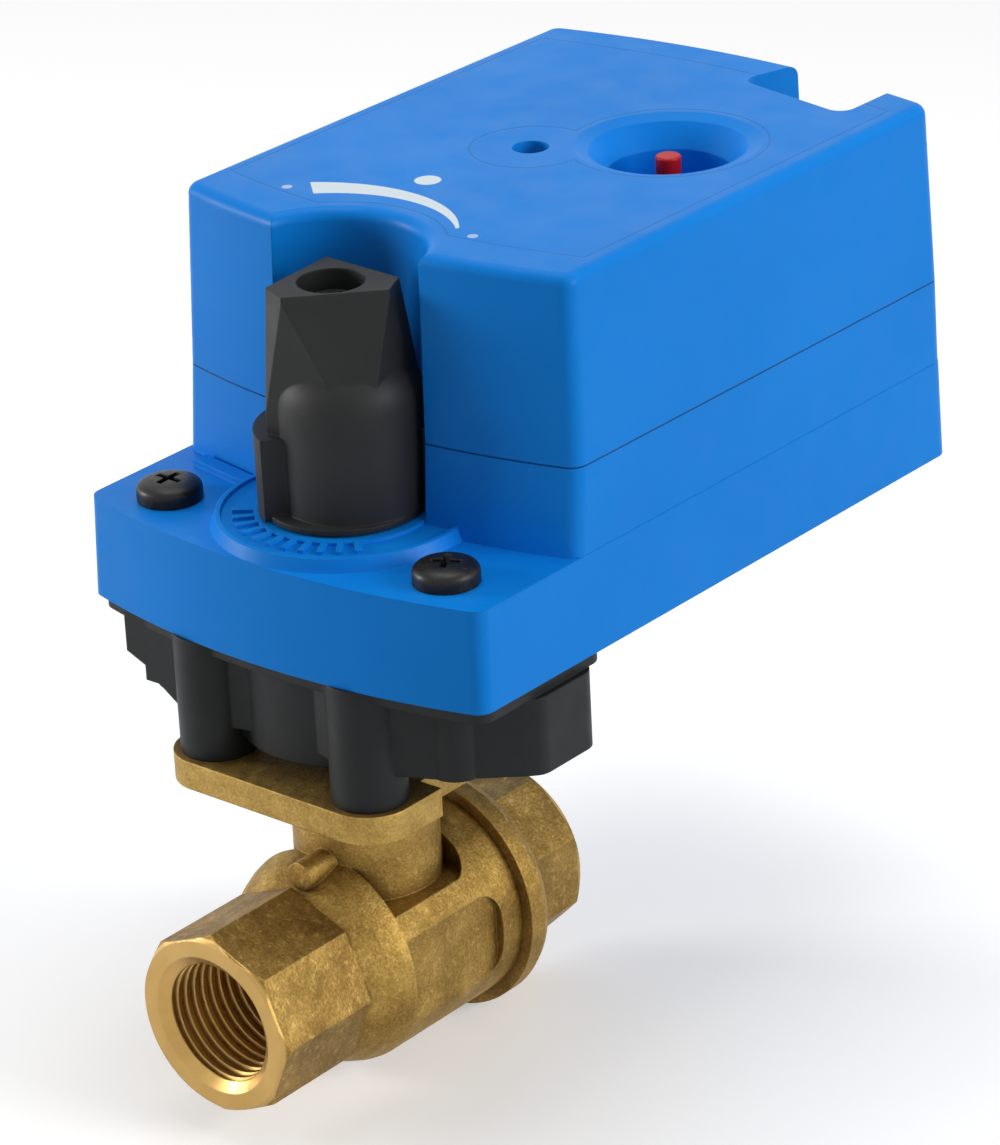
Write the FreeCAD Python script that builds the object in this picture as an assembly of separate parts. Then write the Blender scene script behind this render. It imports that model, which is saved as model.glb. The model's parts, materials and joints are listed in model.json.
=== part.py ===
import FreeCAD, Part
import math
import os

# Motorized ball valve, in millimetres
#
# A brass two-piece ball valve carries a flat mounting pad on its neck. A black
# plastic bracket stands on the pad, and a blue electric actuator is screwed to
# the bracket. Inside the actuator a geared motor turns the output hub, which
# turns the valve's stem and ball by a quarter turn. A black handle on the hub
# shows the position and turns the valve by hand while the red button is held.
#
# The origin is the centre of the ball, where the pipe's axis crosses the
# stem's axis. +Y runs along the pipe from the inlet to the outlet, and +Z runs
# up the stem. The valve is drawn open.

V = FreeCAD.Vector

# Clearances that fits are made from
RUNNING_GAP = 0.05      # radial, a shaft that turns in its hole
SLIDING_GAP = 0.08      # radial, a button or bush that slides
SEATED_GAP = 0.02       # between fixed pieces that sit in each other
FREE_GAP = 0.3          # between moving pieces that pass each other
HEAD_GAP = 0.2          # radial, round a sunk screw head
PAST = 1.0              # how far a cutting tool runs past the face it cuts

# Valve body: ports, barrel, neck and mounting pad
PORT_FLATS = 27.0
PORT_CHAMFER = 1.1
PIPE_THREAD_MINOR = 9.3
PIPE_THREAD_DEPTH = 0.95
PIPE_THREAD_PITCH = 1.81
PIPE_THREAD_LAND = 0.82
PIPE_THREAD_TURNS = 8
PIPE_THREAD_RUNOUT = 1.1
PIPE_THREAD_OVERCUT = 0.2
PORT_MOUTH_RADIUS = 10.95
PORT_MOUTH_DEPTH = 1.3
PORT_FLOOR_DEPTH = 2.8
WATERWAY_RADIUS = 5.4
INLET_FACE = -36.0
INLET_PORT_END = -17.2
BARREL_START = -9.8
BARREL_RADIUS = 17.1
BARREL_END = 15.0
SHOULDER_RISE = 1.6
SHOULDER_DROP = 1.2
BARREL_EDGE = 1.4
BARREL_EDGE_DROP = 0.3
CAVITY_RADIUS = 10.3
CAVITY_START = -8.4
SIDE_FLAT = 15.6
SIDE_FLAT_HEIGHT = 14.0
SIDE_FLAT_END = 10.5
PLATFORM_LEVEL = 10.4
PLATFORM_END = 8.0
POCKET_CORNER = 4.0
STEM_BOSS_RADIUS = 11.1
STEM_BOSS_ROOT = 6.4
PAD_WIDTH = 43.4
PAD_BOTTOM = 28.5
PAD_TOP = 33.0
PAD_WAIST_DEPTH = 4.0
PAD_WAIST_LENGTH = 14.0
PAD_BOLT_CIRCLE = 42.0
PAD_SCREW_RADIUS = 2.5
LUG_RADIUS = 2.2
LUG_START = -16.6
LUG_LENGTH = 7.0
LUG_LEVEL = 16.5
LUG_X = 1.2

# End connector, screwed into the body
COLLAR_RADIUS = 19.0
COLLAR_WIDTH = 4.8
COLLAR_ROUND = 1.8
SPIGOT_RADIUS = 14.2
SPIGOT_LENGTH = 4.3
NOSE_START = 8.2
OUTLET_PORT_START = 23.0
OUTLET_FACE = 33.4
OUTLET_PORT_TURN = 22.5
BODY_SEAL_THICKNESS = 1.2
BODY_SEAL_INNER = 11.4

# Ball, seats and stem
BALL_RADIUS = 9.8
BALL_SLOT_WIDTH = 4.0
BALL_SLOT_FLOOR = 6.8
SEAT_OUTER = 8.8
SEAT_INNER = 6.4
SEAT_BACK = 10.6
STEM_RADIUS = 4.0
STEM_COLLAR_RADIUS = 6.0
STEM_COLLAR_BOTTOM = 11.3
STEM_COLLAR_TOP = 13.0
THRUST_WASHER_THICKNESS = 0.8
STEM_RING_LEVELS = (18.0, 23.0)
STEM_RING_WIRE = 1.6
STEM_RING_DEPTH = 1.3
STEM_RING_ROUND = 0.35
STEM_SQUARE = 5.6
STEM_SQUARE_START = 31.0
STEM_TOP = 44.0

# Black mounting bracket between the pad and the actuator
FOOT_RADIUS = 5.7
DRUM_RADIUS = 17.6
DRUM_BOTTOM = 36.0
DRUM_WALL = 2.4
DRUM_HOLE_GAP = 1.5
BRACKET_PLATE_THICKNESS = 2.1
BRACKET_PLATE_INSET = 0.9
BRACKET_PLATE_REAR = 13.0
BRACKET_PLATE_BULGE = 4.9
BRACKET_PLATE_CORNER = 3.0
LOBE_BOTTOM = 38.2
LOBE_OVERHANG = 0.2
LOBE_REAR = 9.8
LOBE_TOE = 3.5
LOBE_KNEE_X = 27.0
LOBE_KNEE_Y = -12.6
LOBE_NOSE_Y = -5.0
LOBE_NOSE_CUT = 2.0
LOBE_WALL = 2.6
LOBE_ROUND = 3.0
LOBE_KNEE_ROUND = 12.0
EAR_FRONT = -17.0
EAR_DEPTH = 5.0
EAR_REACH = 30.4
EAR_STEP = 26.8
EAR_TOE = 24.1
EAR_CORNER_LEVEL = 45.3
EAR_STEP_LEVEL = 43.8
EAR_TOE_LEVEL = 41.4
EAR_FOOT = 20.0
EAR_FOOT_LEVEL = 38.6
BRACKET_SCREW_LEVEL = 40.0
BRACKET_SCREW_HEAD_RADIUS = 4.2
BRACKET_SCREW_HEAD_HEIGHT = 3.0

# Actuator housing: a flanged base and a cover, tapered towards the top
HOUSING_BOTTOM = 52.4
FLANGE_TOP = 68.1
SEAM = 81.6
HOUSING_TOP = 110.1
HALF_WIDTH_SEAM = 37.5
SIDE_SPREAD_TO_FLANGE = 0.2
SIDE_SPREAD_TO_BOTTOM = 0.3
SIDE_DRAW_TO_TOP = 0.9
FLANGE_FRONT_BOTTOM = -15.4
FLANGE_FRONT_TOP = -14.8
BOX_FRONT_FLANGE = 6.7
BOX_FRONT_SEAM = 8.0
BOX_FRONT_TOP = 9.1
REAR_BOTTOM = 98.0
REAR_FLANGE = 97.5
REAR_SEAM = 97.1
REAR_TOP = 96.2
FRONT_BULGE = 5.4
REAR_BULGE = 4.4
HOUSING_WALL = 2.0
HOUSING_CORNER = 2.6
BOX_LEDGE = 0.06
COVER_EDGE_ROUND = 1.8
RECESS_RADIUS = 14.8
RECESS_X = -1.2
SCALE_RING_OUTER = 19.9
SCALE_RING_SLOPE = 0.8
SCALE_RIM_INNER = 18.3
SCALE_RING_HEIGHT = 1.9
SCALE_GROOVE_DEPTH = 0.5
SCALE_TICK_OUTER = 16.6
SCALE_TICK_INNER = 13.4
SCALE_TICK_COUNT = 11
SCALE_TICK_WIDTH = 1.0
SCALE_TICK_START = 218.0
SCALE_TICK_STEP = 10.0
STOP_BAR_HEIGHT = 1.0
STOP_BAR_CORNERS = ((-32.3, 2.0), (-20.0, -0.3), (-20.0, 2.2), (-31.7, 4.4))

# Openings in the cover's top
DISH_X = 13.9
DISH_Y = 60.8
DISH_RIM_RADIUS = 14.2
DISH_LIP_RADIUS = 12.0
DISH_LIP_DROP = 0.7
DISH_STEP_RADIUS = 9.3
DISH_STEP_LEVEL = 105.8
DISH_FLOOR_RADIUS = 9.0
DISH_FLOOR = 101.6
DISH_WALL = 1.6
SELECTOR_X = -2.4
SELECTOR_Y = 48.4
SELECTOR_HOLE_RADIUS = 2.8
NOTCH_FRONT_LEFT = (5.7, 89.8)
NOTCH_FRONT_RIGHT = (28.3, 85.2)
NOTCH_REAR_LEFT = (9.6, 103.0)
NOTCH_REAR_RIGHT = (28.6, 103.0)
NOTCH_CORNER = 2.5
NOTCH_FLOOR = 99.0
NOTCH_WALL = 1.6

# Screws that hold the housing together and to the bracket
FLANGE_SCREW_X = 26.7
FLANGE_SCREW_Y = -9.0
FLANGE_SCREW_RADIUS = 2.0
FLANGE_SCREW_HEAD_RADIUS = 4.95
FLANGE_SCREW_HEAD_HEIGHT = 3.2
FLANGE_SCREW_END = 42.0
FLANGE_TUBE_RADIUS = 4.0
COVER_SCREW_X = 33.0
COVER_SCREW_FRONT_Y = 17.0
COVER_SCREW_REAR_Y = 92.5
COVER_SCREW_RADIUS = 1.5
COVER_SCREW_HEAD_RADIUS = 2.8
COVER_SCREW_HEAD_HEIGHT = 2.2
COVER_SCREW_SINK = 0.8
COVER_SCREW_SOCKET_DEPTH = 1.2
COVER_SCREW_REACH = 8.0
COVER_TUBE_RADIUS = 3.6

# Shares of a pan head: its rounding, and the width, reach and depth of its cross
PAN_ROUND = 0.45
PAN_CROSS_WIDTH = 0.24
PAN_CROSS_REACH = 0.62
PAN_CROSS_DEPTH = 0.5

# Output hub, drive coupler, bushes and handle
HUB_RADIUS = 9.0
HUB_SPIGOT_RADIUS = 7.5
HUB_BOTTOM = 49.5
HUB_TOP = 91.0
HUB_NOSE_RADIUS = 6.6
DRIVE_SQUARE = 8.0
DRIVE_COUPLER_RADIUS = 7.6
DRIVE_COUPLER_BOTTOM = 36.2
DRIVE_PEG_TOP = 60.0
BUSH_WALL = 1.8
BUSH_FLANGE = 1.5
HANDLE_REST_TURN = 135.0
HANDLE_BOTTOM = 70.3
HANDLE_RING_RADIUS = 11.9
HANDLE_SKIRT_RADIUS = 12.7
HANDLE_SKIRT_TOP = 83.0
HANDLE_SKIRT_FRONT = 4.5
HANDLE_DRUM_RADIUS = 10.9
HANDLE_DRUM_Y = -1.5
HANDLE_DRUM_BOTTOM = 71.2
HANDLE_DRUM_TOP = 94.6
HANDLE_DRUM_ROUND = 7.0
HANDLE_NECK_FOOT = 86.0
HANDLE_TOP = 105.0
HANDLE_TIP = (9.9, 0.0)
HANDLE_LEFT = (-0.8, 9.4)
HANDLE_LEFT_FRONT = (-5.7, 7.4)
HANDLE_RIGHT_FRONT = (-5.7, -7.8)
HANDLE_RIGHT = (-0.8, -9.7)
HANDLE_FOOT_TIP = (12.2, 0.0)
HANDLE_FOOT_LEFT = (-2.0, 10.7)
HANDLE_FOOT_LEFT_FRONT = (-10.4, -0.9)
HANDLE_FOOT_RIGHT_FRONT = (-10.4, -4.1)
HANDLE_FOOT_RIGHT = (-1.5, -12.4)
HANDLE_SLOPE_TOP = 5.4
HANDLE_SLOPE_FOOT = 8.9
HANDLE_SLOPE_LEVEL = 92.3
HANDLE_POCKET_RADIUS = 5.0
HANDLE_POCKET_FLOOR = 99.5
HANDLE_SCREW_RADIUS = 2.0
HANDLE_SCREW_HEAD_RADIUS = 4.3
HANDLE_SCREW_HEAD_HEIGHT = 3.0
HANDLE_SCREW_END = 80.0
TURN_RANGE = 90.0

# Gear train, all of one module
MODULE = 1.0
PRESSURE_ANGLE = 20.0
BACKLASH = 0.24
TIP_HEIGHT = 0.85
ROOT_DEPTH = 1.3
SECTOR_TEETH = 60
PINION_TEETH = 12
FIRST_WHEEL_TEETH = 42
CLUTCH_WHEEL_TEETH = 38
SECTOR_BOTTOM = 56.0
SECTOR_THICKNESS = 5.0
SECTOR_MARGIN = 2.9
SECTOR_HUB_WALL = 5.0
WHEEL_THICKNESS = 3.0
FIRST_WHEEL_BOTTOM = 62.0
CLUTCH_PINION_THICKNESS = 2.7
CLUTCH_WHEEL_BOTTOM = 69.0
CLUTCH_TRAVEL = 3.0
MOTOR_DIRECTION = 200.0
SHAFT_RADIUS = 1.5
SHAFT_BOSS_RADIUS = 3.6
SHAFT_BOSS_HEIGHT = 1.0
SHAFT_FOOT_DEPTH = 1.2
CLUTCH_BUSH_WALL = 1.0
CLUTCH_BUSH_FLANGE_RADIUS = 3.6
CLUTCH_BUSH_FLANGE_THICKNESS = 0.8
SPRING_WIRE = 0.5
SPRING_TURNS = 3
SPRING_COIL_RADIUS = 2.6

# Gear plate, motor, circuit board and controls
GEAR_PLATE_BOTTOM = 75.0
GEAR_PLATE_THICKNESS = 1.5
GEAR_PLATE_HALF_WIDTH = 33.5
GEAR_PLATE_FRONT = 25.0
GEAR_PLATE_REAR = 88.0
GEAR_PLATE_CORNER = 3.0
PILLAR_RADIUS = 3.0
PILLAR_FOOT_RADIUS = 4.0
PILLAR_FOOT_HEIGHT = 1.0
PILLAR_X = 30.0
PILLAR_FRONT_Y = 29.5
PILLAR_REAR_Y = 84.0
SMALL_SCREW_RADIUS = 1.2
SMALL_SCREW_HEAD_RADIUS = 2.3
SMALL_SCREW_HEAD_HEIGHT = 1.6
SMALL_SCREW_LENGTH = 4.0
MOTOR_RADIUS = 17.5
MOTOR_HEIGHT = 14.0
MOTOR_ROUND = 1.0
MOTOR_EAR_REACH = 20.5
MOTOR_EAR_RADIUS = 3.2
MOTOR_EAR_THICKNESS = 1.0
MOTOR_EAR_DIRECTIONS = (150.0, 330.0)
MOTOR_SHAFT_RADIUS = 1.25
MOTOR_SHAFT_DEPTH = 5.0
MOTOR_HUB_RADIUS = 4.0
BOARD_BOTTOM = 92.0
BOARD_THICKNESS = 1.6
BOARD_HALF_WIDTH = 32.8
BOARD_FRONT = 43.0
BOARD_REAR = 94.5
BOARD_CLEARANCE = 1.0
BOARD_PILLAR_RADIUS = 2.5
BOARD_PILLAR_X = 30.0
BOARD_PILLAR_FRONT_Y = 47.0
BOARD_PILLAR_REAR_Y = 76.0
TERMINAL_X = 17.3
TERMINAL_Y = 93.7
TERMINAL_LENGTH = 16.0
TERMINAL_DEPTH = 7.6
TERMINAL_HEIGHT = 9.2
TERMINAL_COUNT = 3
TERMINAL_PITCH = 5.08
TERMINAL_WELL_RADIUS = 1.8
TERMINAL_WELL_LEVEL = 3.0
TERMINAL_SCREW_RADIUS = 1.7
TERMINAL_SCREW_HEIGHT = 2.4
WIRE_MOUTH_WIDTH = 3.0
WIRE_MOUTH_BOTTOM = 5.6
WIRE_MOUTH_TOP = 7.8
SELECTOR_BODY = 8.0
SELECTOR_BODY_HEIGHT = 4.5
SELECTOR_DIAL_RADIUS = 2.3
SELECTOR_DIAL_TOP = 107.4
SELECTOR_DIAL_FOOT = 1.0
SELECTOR_SLOT_WIDTH = 0.8
SELECTOR_SLOT_DEPTH = 1.2
BUTTON_RADIUS = 1.95
BUTTON_TOP = 108.2
BUTTON_ROUND = 0.4
BUTTON_FLANGE_RADIUS = 3.4
BUTTON_FLANGE_THICKNESS = 1.2
BUTTON_SLEEVE_RADIUS = 3.0
BUTTON_SLEEVE_TOP = 88.0
CAPACITOR_RADIUS = 5.0
CAPACITOR_HEIGHT = 11.0
CAPACITOR_X = -20.0
CAPACITOR_Y = (62.0, 74.0)
RELAY_X = -8.0
RELAY_WIDTH = 12.0
RELAY_DEPTH = 15.0
RELAY_HEIGHT = 11.0
RELAY_FRONT = 76.0
RELAY_CORNER = 0.8

# Sizes that follow from the ones above
PORT_IN_RADIUS = PORT_FLATS / 2
PORT_CORNER_RADIUS = PORT_IN_RADIUS / math.cos(math.pi / 8)
PAD_HALF = PAD_WIDTH / 2
PAD_BOLT = PAD_BOLT_CIRCLE / 2 / math.sqrt(2)
COLLAR_END = BARREL_END + COLLAR_WIDTH
SPIGOT_END = BARREL_END - SPIGOT_LENGTH
BRACKET_TOP = HOUSING_BOTTOM
BRACKET_PLATE_BOTTOM = BRACKET_TOP - BRACKET_PLATE_THICKNESS
FLOOR_TOP = HOUSING_BOTTOM + HOUSING_WALL
FLANGE_UNDERSIDE = FLANGE_TOP - HOUSING_WALL
RECESS_WALL_RADIUS = RECESS_RADIUS + HOUSING_WALL
COVER_UNDERSIDE = HOUSING_TOP - HOUSING_WALL
GEAR_PLATE_TOP = GEAR_PLATE_BOTTOM + GEAR_PLATE_THICKNESS
BOARD_TOP = BOARD_BOTTOM + BOARD_THICKNESS
PINION_RADIUS = MODULE * PINION_TEETH / 2
SECTOR_DISTANCE = MODULE * (SECTOR_TEETH + PINION_TEETH) / 2
FIRST_DISTANCE = MODULE * (FIRST_WHEEL_TEETH + PINION_TEETH) / 2
CLUTCH_DISTANCE = MODULE * (CLUTCH_WHEEL_TEETH + PINION_TEETH) / 2
CLUTCH_X = DISH_X
CLUTCH_Y = DISH_Y
CLUTCH_BUSH_RADIUS = SHAFT_RADIUS + SLIDING_GAP + CLUTCH_BUSH_WALL
CLUTCH_GEAR_BOTTOM = FIRST_WHEEL_BOTTOM
CLUTCH_GEAR_TOP = CLUTCH_WHEEL_BOTTOM + WHEEL_THICKNESS
CLUTCH_BUSH_BOTTOM = CLUTCH_GEAR_BOTTOM - FREE_GAP - CLUTCH_BUSH_FLANGE_THICKNESS
THRUST_WASHER_TOP = STEM_COLLAR_TOP + THRUST_WASHER_THICKNESS
PIPE_THREAD_LENGTH = PIPE_THREAD_PITCH * PIPE_THREAD_TURNS
HALF_WIDTH_FLANGE = HALF_WIDTH_SEAM + SIDE_SPREAD_TO_FLANGE
HALF_WIDTH_BOTTOM = HALF_WIDTH_FLANGE + SIDE_SPREAD_TO_BOTTOM
HALF_WIDTH_TOP = HALF_WIDTH_SEAM - SIDE_DRAW_TO_TOP
LOBE_SIDE = HALF_WIDTH_BOTTOM + LOBE_OVERHANG
PORT_DEPTH = PORT_MOUTH_DEPTH + PIPE_THREAD_LENGTH + PIPE_THREAD_RUNOUT
COVER_SCREW_SEAT = HOUSING_BOTTOM + COVER_SCREW_SINK + COVER_SCREW_HEAD_HEIGHT
SCALE_RING_TOP = FLANGE_TOP + SCALE_RING_HEIGHT
FEET = [(x, y) for y in (-PAD_BOLT, PAD_BOLT) for x in (-PAD_BOLT, PAD_BOLT)]
EARS = [(-FLANGE_SCREW_X, FLANGE_SCREW_Y), (FLANGE_SCREW_X, FLANGE_SCREW_Y)]


# Basic solids

def cylinder(radius, low, high, x=0.0, y=0.0):
    """Upright cylinder between two levels."""
    return Part.makeCylinder(radius, high - low, V(x, y, low))


def tube(outer, inner, low, high, x=0.0, y=0.0):
    """Upright tube between two levels."""
    return cylinder(outer, low, high, x, y).cut(cylinder(inner, low - PAST, high + PAST, x, y))


def pipe_cylinder(radius, start, end, x=0.0, z=0.0):
    """Cylinder along the pipe's direction."""
    return Part.makeCylinder(radius, end - start, V(x, start, z), V(0, 1, 0))


def block(x_low, x_high, y_low, y_high, z_low, z_high):
    """Square block between six planes."""
    return Part.makeBox(x_high - x_low, y_high - y_low, z_high - z_low, V(x_low, y_low, z_low))


def square_bar(side, low, high):
    """Upright square bar on the stem's axis."""
    half = side / 2
    return block(-half, half, -half, half, low, high)


def prism(points, low, high):
    """Upright prism over a plan outline."""
    corners = [V(x, y, low) for x, y in points]
    face = Part.Face(Part.makePolygon(corners + corners[:1]))
    return face.extrude(V(0, 0, high - low))


def front_prism(points, front, rear):
    """Prism along the pipe's direction over an outline of (x, z) points."""
    corners = [V(x, front, z) for x, z in points]
    face = Part.Face(Part.makePolygon(corners + corners[:1]))
    return face.extrude(V(0, rear - front, 0))


def turned(profile):
    """Solid turned about the pipe's axis from (y, radius) points."""
    corners = [V(radius, y, 0) for y, radius in profile]
    face = Part.Face(Part.makePolygon(corners + corners[:1]))
    return face.revolve(V(0, 0, 0), V(0, 1, 0), 360)


def turned_upright(profile, x=0.0, y=0.0):
    """Solid turned about an upright axis from (radius, z) points."""
    corners = [V(x + radius, y, z) for radius, z in profile]
    face = Part.Face(Part.makePolygon(corners + corners[:1]))
    return face.revolve(V(x, y, 0), V(0, 0, 1), 360)


def triangle(*corners):
    """Flat face between three corners."""
    return Part.Face(Part.makePolygon(list(corners) + [corners[0]]))


def facets_between(lower, low, upper, high):
    """Solid between two outlines with as many corners, each side creased along its outer diagonal."""
    feet = [V(x, y, low) for x, y in lower]
    heads = [V(x, y, high) for x, y in upper]
    faces = [Part.Face(Part.makePolygon(ring + ring[:1])) for ring in (feet, heads)]
    nexts = zip(feet, feet[1:] + feet[:1], heads[1:] + heads[:1], heads)
    for foot, next_foot, next_head, head in nexts:
        along = next_foot - foot + next_head - head
        outward = V(along.y, -along.x, 0)
        if (foot + next_head).dot(outward) > (next_foot + head).dot(outward):
            faces += [triangle(foot, next_foot, next_head), triangle(foot, next_head, head)]
        else:
            faces += [triangle(foot, next_foot, head), triangle(next_foot, next_head, head)]
    shell = Part.makeShell(faces)
    shell.sewShape()
    solid = Part.makeSolid(shell)
    return solid if solid.Volume > 0 else solid.reversed()


def is_upright(edge):
    """True for an edge that climbs more than it runs."""
    rise = edge.Vertexes[-1].Point - edge.Vertexes[0].Point
    return abs(rise.z) > math.hypot(rise.x, rise.y)


def round_uprights(solid, radius):
    """Round the upright edges of a solid."""
    return solid.makeFillet(radius, [edge for edge in solid.Edges if is_upright(edge)])


def joined(solids):
    """One solid of all the given ones."""
    first, *rest = solids
    return first.fuse(rest).removeSplitter() if rest else first


def group(solids):
    """Several separate solids in one node."""
    return Part.makeCompound(list(solids))


def pan_screw(x, y, seat, head_radius, head_height, shank_radius, end, cross=True):
    """Pan-head screw that points down, with its head on the seat level."""
    top = seat + head_height
    head = cylinder(head_radius, seat, top, x, y)
    rim = [edge for edge in head.Edges if edge.BoundBox.ZMin > seat + head_height / 2]
    head = head.makeFillet(head_height * PAN_ROUND, rim)
    screw = head.fuse(cylinder(shank_radius, end, seat, x, y)).removeSplitter()
    if cross:
        half = head_radius * PAN_CROSS_WIDTH / 2
        reach = head_radius * PAN_CROSS_REACH
        floor = top - head_height * PAN_CROSS_DEPTH
        screw = screw.cut(block(x - reach, x + reach, y - half, y + half, floor, top + PAST))
        screw = screw.cut(block(x - half, x + half, y - reach, y + reach, floor, top + PAST))
    return screw


def four_corners(half_x, front_y, rear_y):
    """The four (x, y) corners that a mirrored rectangle of holes has."""
    return [(side * half_x, y) for y in (front_y, rear_y) for side in (-1, 1)]


# Gears

def involute(angle):
    """The involute function of an angle."""
    return math.tan(angle) - angle


def gear_outline(teeth, turn):
    """Plan outline of a gear whose first tooth points along the turn angle."""
    pitch = MODULE * teeth / 2
    pressure = math.radians(PRESSURE_ANGLE)
    base = pitch * math.cos(pressure)
    root = pitch - MODULE * ROOT_DEPTH
    tip = pitch + MODULE * TIP_HEIGHT
    at_pitch = math.pi / 2 / teeth - BACKLASH / 2 / pitch + involute(pressure)

    def half_angle(radius):
        return at_pitch - involute(math.acos(min(1.0, base / radius)))

    flank = [max(base, root), pitch, (pitch + tip) / 2, tip]
    if root < base:
        flank.insert(0, root)
    points = []
    for index in range(teeth):
        middle = math.radians(turn) + 2 * math.pi * index / teeth
        left = [(radius, middle - half_angle(radius)) for radius in flank]
        right = [(radius, middle + half_angle(radius)) for radius in reversed(flank)]
        points += [(r * math.cos(a), r * math.sin(a)) for r, a in left + right]
    return points


def gear(teeth, low, high, x, y, turn):
    """Spur gear between two levels, turned so that a tooth points along an angle."""
    solid = prism(gear_outline(teeth, turn), low, high)
    solid.translate(V(x, y, 0))
    return solid


def meshing_turn(teeth, direction):
    """Turn that puts a gap between two teeth on the line towards a gear."""
    return direction + 180.0 / teeth


def first_gear_place():
    """Where the first gear's shaft stands, between the hub and the clutch gear."""
    reach = math.hypot(CLUTCH_X, CLUTCH_Y)
    along = (SECTOR_DISTANCE ** 2 - FIRST_DISTANCE ** 2 + reach ** 2) / (2 * reach)
    aside = math.sqrt(SECTOR_DISTANCE ** 2 - along ** 2)
    unit_x = CLUTCH_X / reach
    unit_y = CLUTCH_Y / reach
    return along * unit_x - aside * unit_y, along * unit_y + aside * unit_x


FIRST_X, FIRST_Y = first_gear_place()
SHAFTS = [(FIRST_X, FIRST_Y), (CLUTCH_X, CLUTCH_Y)]
MOTOR_X = CLUTCH_X + CLUTCH_DISTANCE * math.cos(math.radians(MOTOR_DIRECTION))
MOTOR_Y = CLUTCH_Y + CLUTCH_DISTANCE * math.sin(math.radians(MOTOR_DIRECTION))
HUB_TO_FIRST = math.degrees(math.atan2(FIRST_Y, FIRST_X))
FIRST_TO_CLUTCH = math.degrees(math.atan2(CLUTCH_Y - FIRST_Y, CLUTCH_X - FIRST_X))


# Valve

def octagon(start, end, turn):
    """Eight-sided bar along the pipe."""
    corners = []
    for index in range(8):
        angle = math.radians(turn + 45 * index)
        x = PORT_CORNER_RADIUS * math.cos(angle)
        z = PORT_CORNER_RADIUS * math.sin(angle)
        corners.append((x, z))
    bar = front_prism(corners, start, end)
    return bar if bar.Volume > 0 else bar.reversed()


def chamfered_end(face, root):
    """Turned shape from an octagon's face to its root, which chamfers its corners."""
    inward = math.copysign(1, root - face)
    outer = PORT_CORNER_RADIUS + PORT_CHAMFER
    deep = face + inward * (outer - PORT_IN_RADIUS)
    return turned([(face, 0), (face, PORT_IN_RADIUS), (deep, outer), (root, outer), (root, 0)])


def thread_groove():
    """Upright helical groove tool of the pipe thread, from level 0 upward."""
    base = PIPE_THREAD_MINOR - PIPE_THREAD_OVERCUT
    crest_half = (PIPE_THREAD_PITCH - PIPE_THREAD_LAND) / 2
    base_half = crest_half * (1 + PIPE_THREAD_OVERCUT / PIPE_THREAD_DEPTH)
    points = [V(base, 0, -base_half), V(PIPE_THREAD_MINOR + PIPE_THREAD_DEPTH, 0, 0), V(base, 0, base_half)]
    section = Part.makePolygon(points + points[:1])
    helix = Part.makeHelix(PIPE_THREAD_PITCH, PIPE_THREAD_LENGTH, PIPE_THREAD_MINOR)
    return Part.Wire(helix.Edges).makePipeShell([section], True, True)


def cut_threaded_port(piece, face, inward):
    """Cut a chamfered mouth, a bore and a pipe thread into a port's face."""
    outside = face - inward * PAST
    mouth_end = face + inward * PORT_MOUTH_DEPTH
    bore_end = face + inward * PORT_DEPTH
    floor = bore_end + inward * PORT_FLOOR_DEPTH
    piece = piece.cut(turned([
        (outside, 0), (outside, PORT_MOUTH_RADIUS), (face, PORT_MOUTH_RADIUS),
        (mouth_end, PIPE_THREAD_MINOR), (bore_end, PIPE_THREAD_MINOR),
        (floor, WATERWAY_RADIUS), (floor, 0)]))
    groove = thread_groove()
    groove.rotate(V(0, 0, 0), V(1, 0, 0), -90 * inward)
    groove.translate(V(0, mouth_end, 0))
    return piece.cut(groove)


def barrel():
    """Turned outside of the body: shoulder, barrel and the neck behind the port."""
    neck = INLET_PORT_END - 2 * PAST
    middle = (INLET_PORT_END + BARREL_START) / 2
    return turned([
        (neck, 0), (neck, PORT_IN_RADIUS),
        (INLET_PORT_END, PORT_IN_RADIUS), (INLET_PORT_END + SHOULDER_RISE, PORT_CORNER_RADIUS),
        (middle, BARREL_RADIUS - SHOULDER_DROP),
        (BARREL_START - BARREL_EDGE, BARREL_RADIUS - BARREL_EDGE_DROP),
        (BARREL_START, BARREL_RADIUS), (BARREL_END, BARREL_RADIUS),
        (BARREL_END, 0)])


def side_flats():
    """Cutting blocks for the two flat panels on the barrel's sides."""
    half = SIDE_FLAT_HEIGHT / 2
    blocks = []
    for side in (-1, 1):
        low, high = sorted((side * SIDE_FLAT, side * (BARREL_RADIUS + PAST)))
        panel = block(low, high, BARREL_START, SIDE_FLAT_END, -half, half)
        rear = [edge for edge in panel.Edges if edge.BoundBox.YMin > 0 and edge.BoundBox.ZLength < PAST]
        blocks.append(panel.makeFillet(POCKET_CORNER, rear))
    return blocks


def platform_pocket():
    """Cutting block for the flat platform round the stem's boss."""
    half = math.sqrt(BARREL_RADIUS ** 2 - PLATFORM_LEVEL ** 2)
    pocket = block(-half, half, BARREL_START, PLATFORM_END, PLATFORM_LEVEL, BARREL_RADIUS + PAST)
    rear = [e for e in pocket.Edges if is_upright(e) and e.BoundBox.YMin > 0]
    return pocket.makeFillet(POCKET_CORNER, rear)


def mounting_pad():
    """Square pad with a waist on both sides, for four screws."""
    pad = block(-PAD_HALF, PAD_HALF, -PAD_HALF, PAD_HALF, PAD_BOTTOM, PAD_TOP)
    pad = round_uprights(pad, PAD_HALF - PAD_BOLT)
    half_waist = PAD_WAIST_LENGTH / 2
    for side in (-1, 1):
        low, high = sorted((side * (PAD_HALF - PAD_WAIST_DEPTH), side * (PAD_HALF + PAST)))
        waist = block(low, high, -half_waist, half_waist, PAD_BOTTOM - PAST, PAD_TOP + PAST)
        pad = pad.cut(waist)
    return pad


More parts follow.
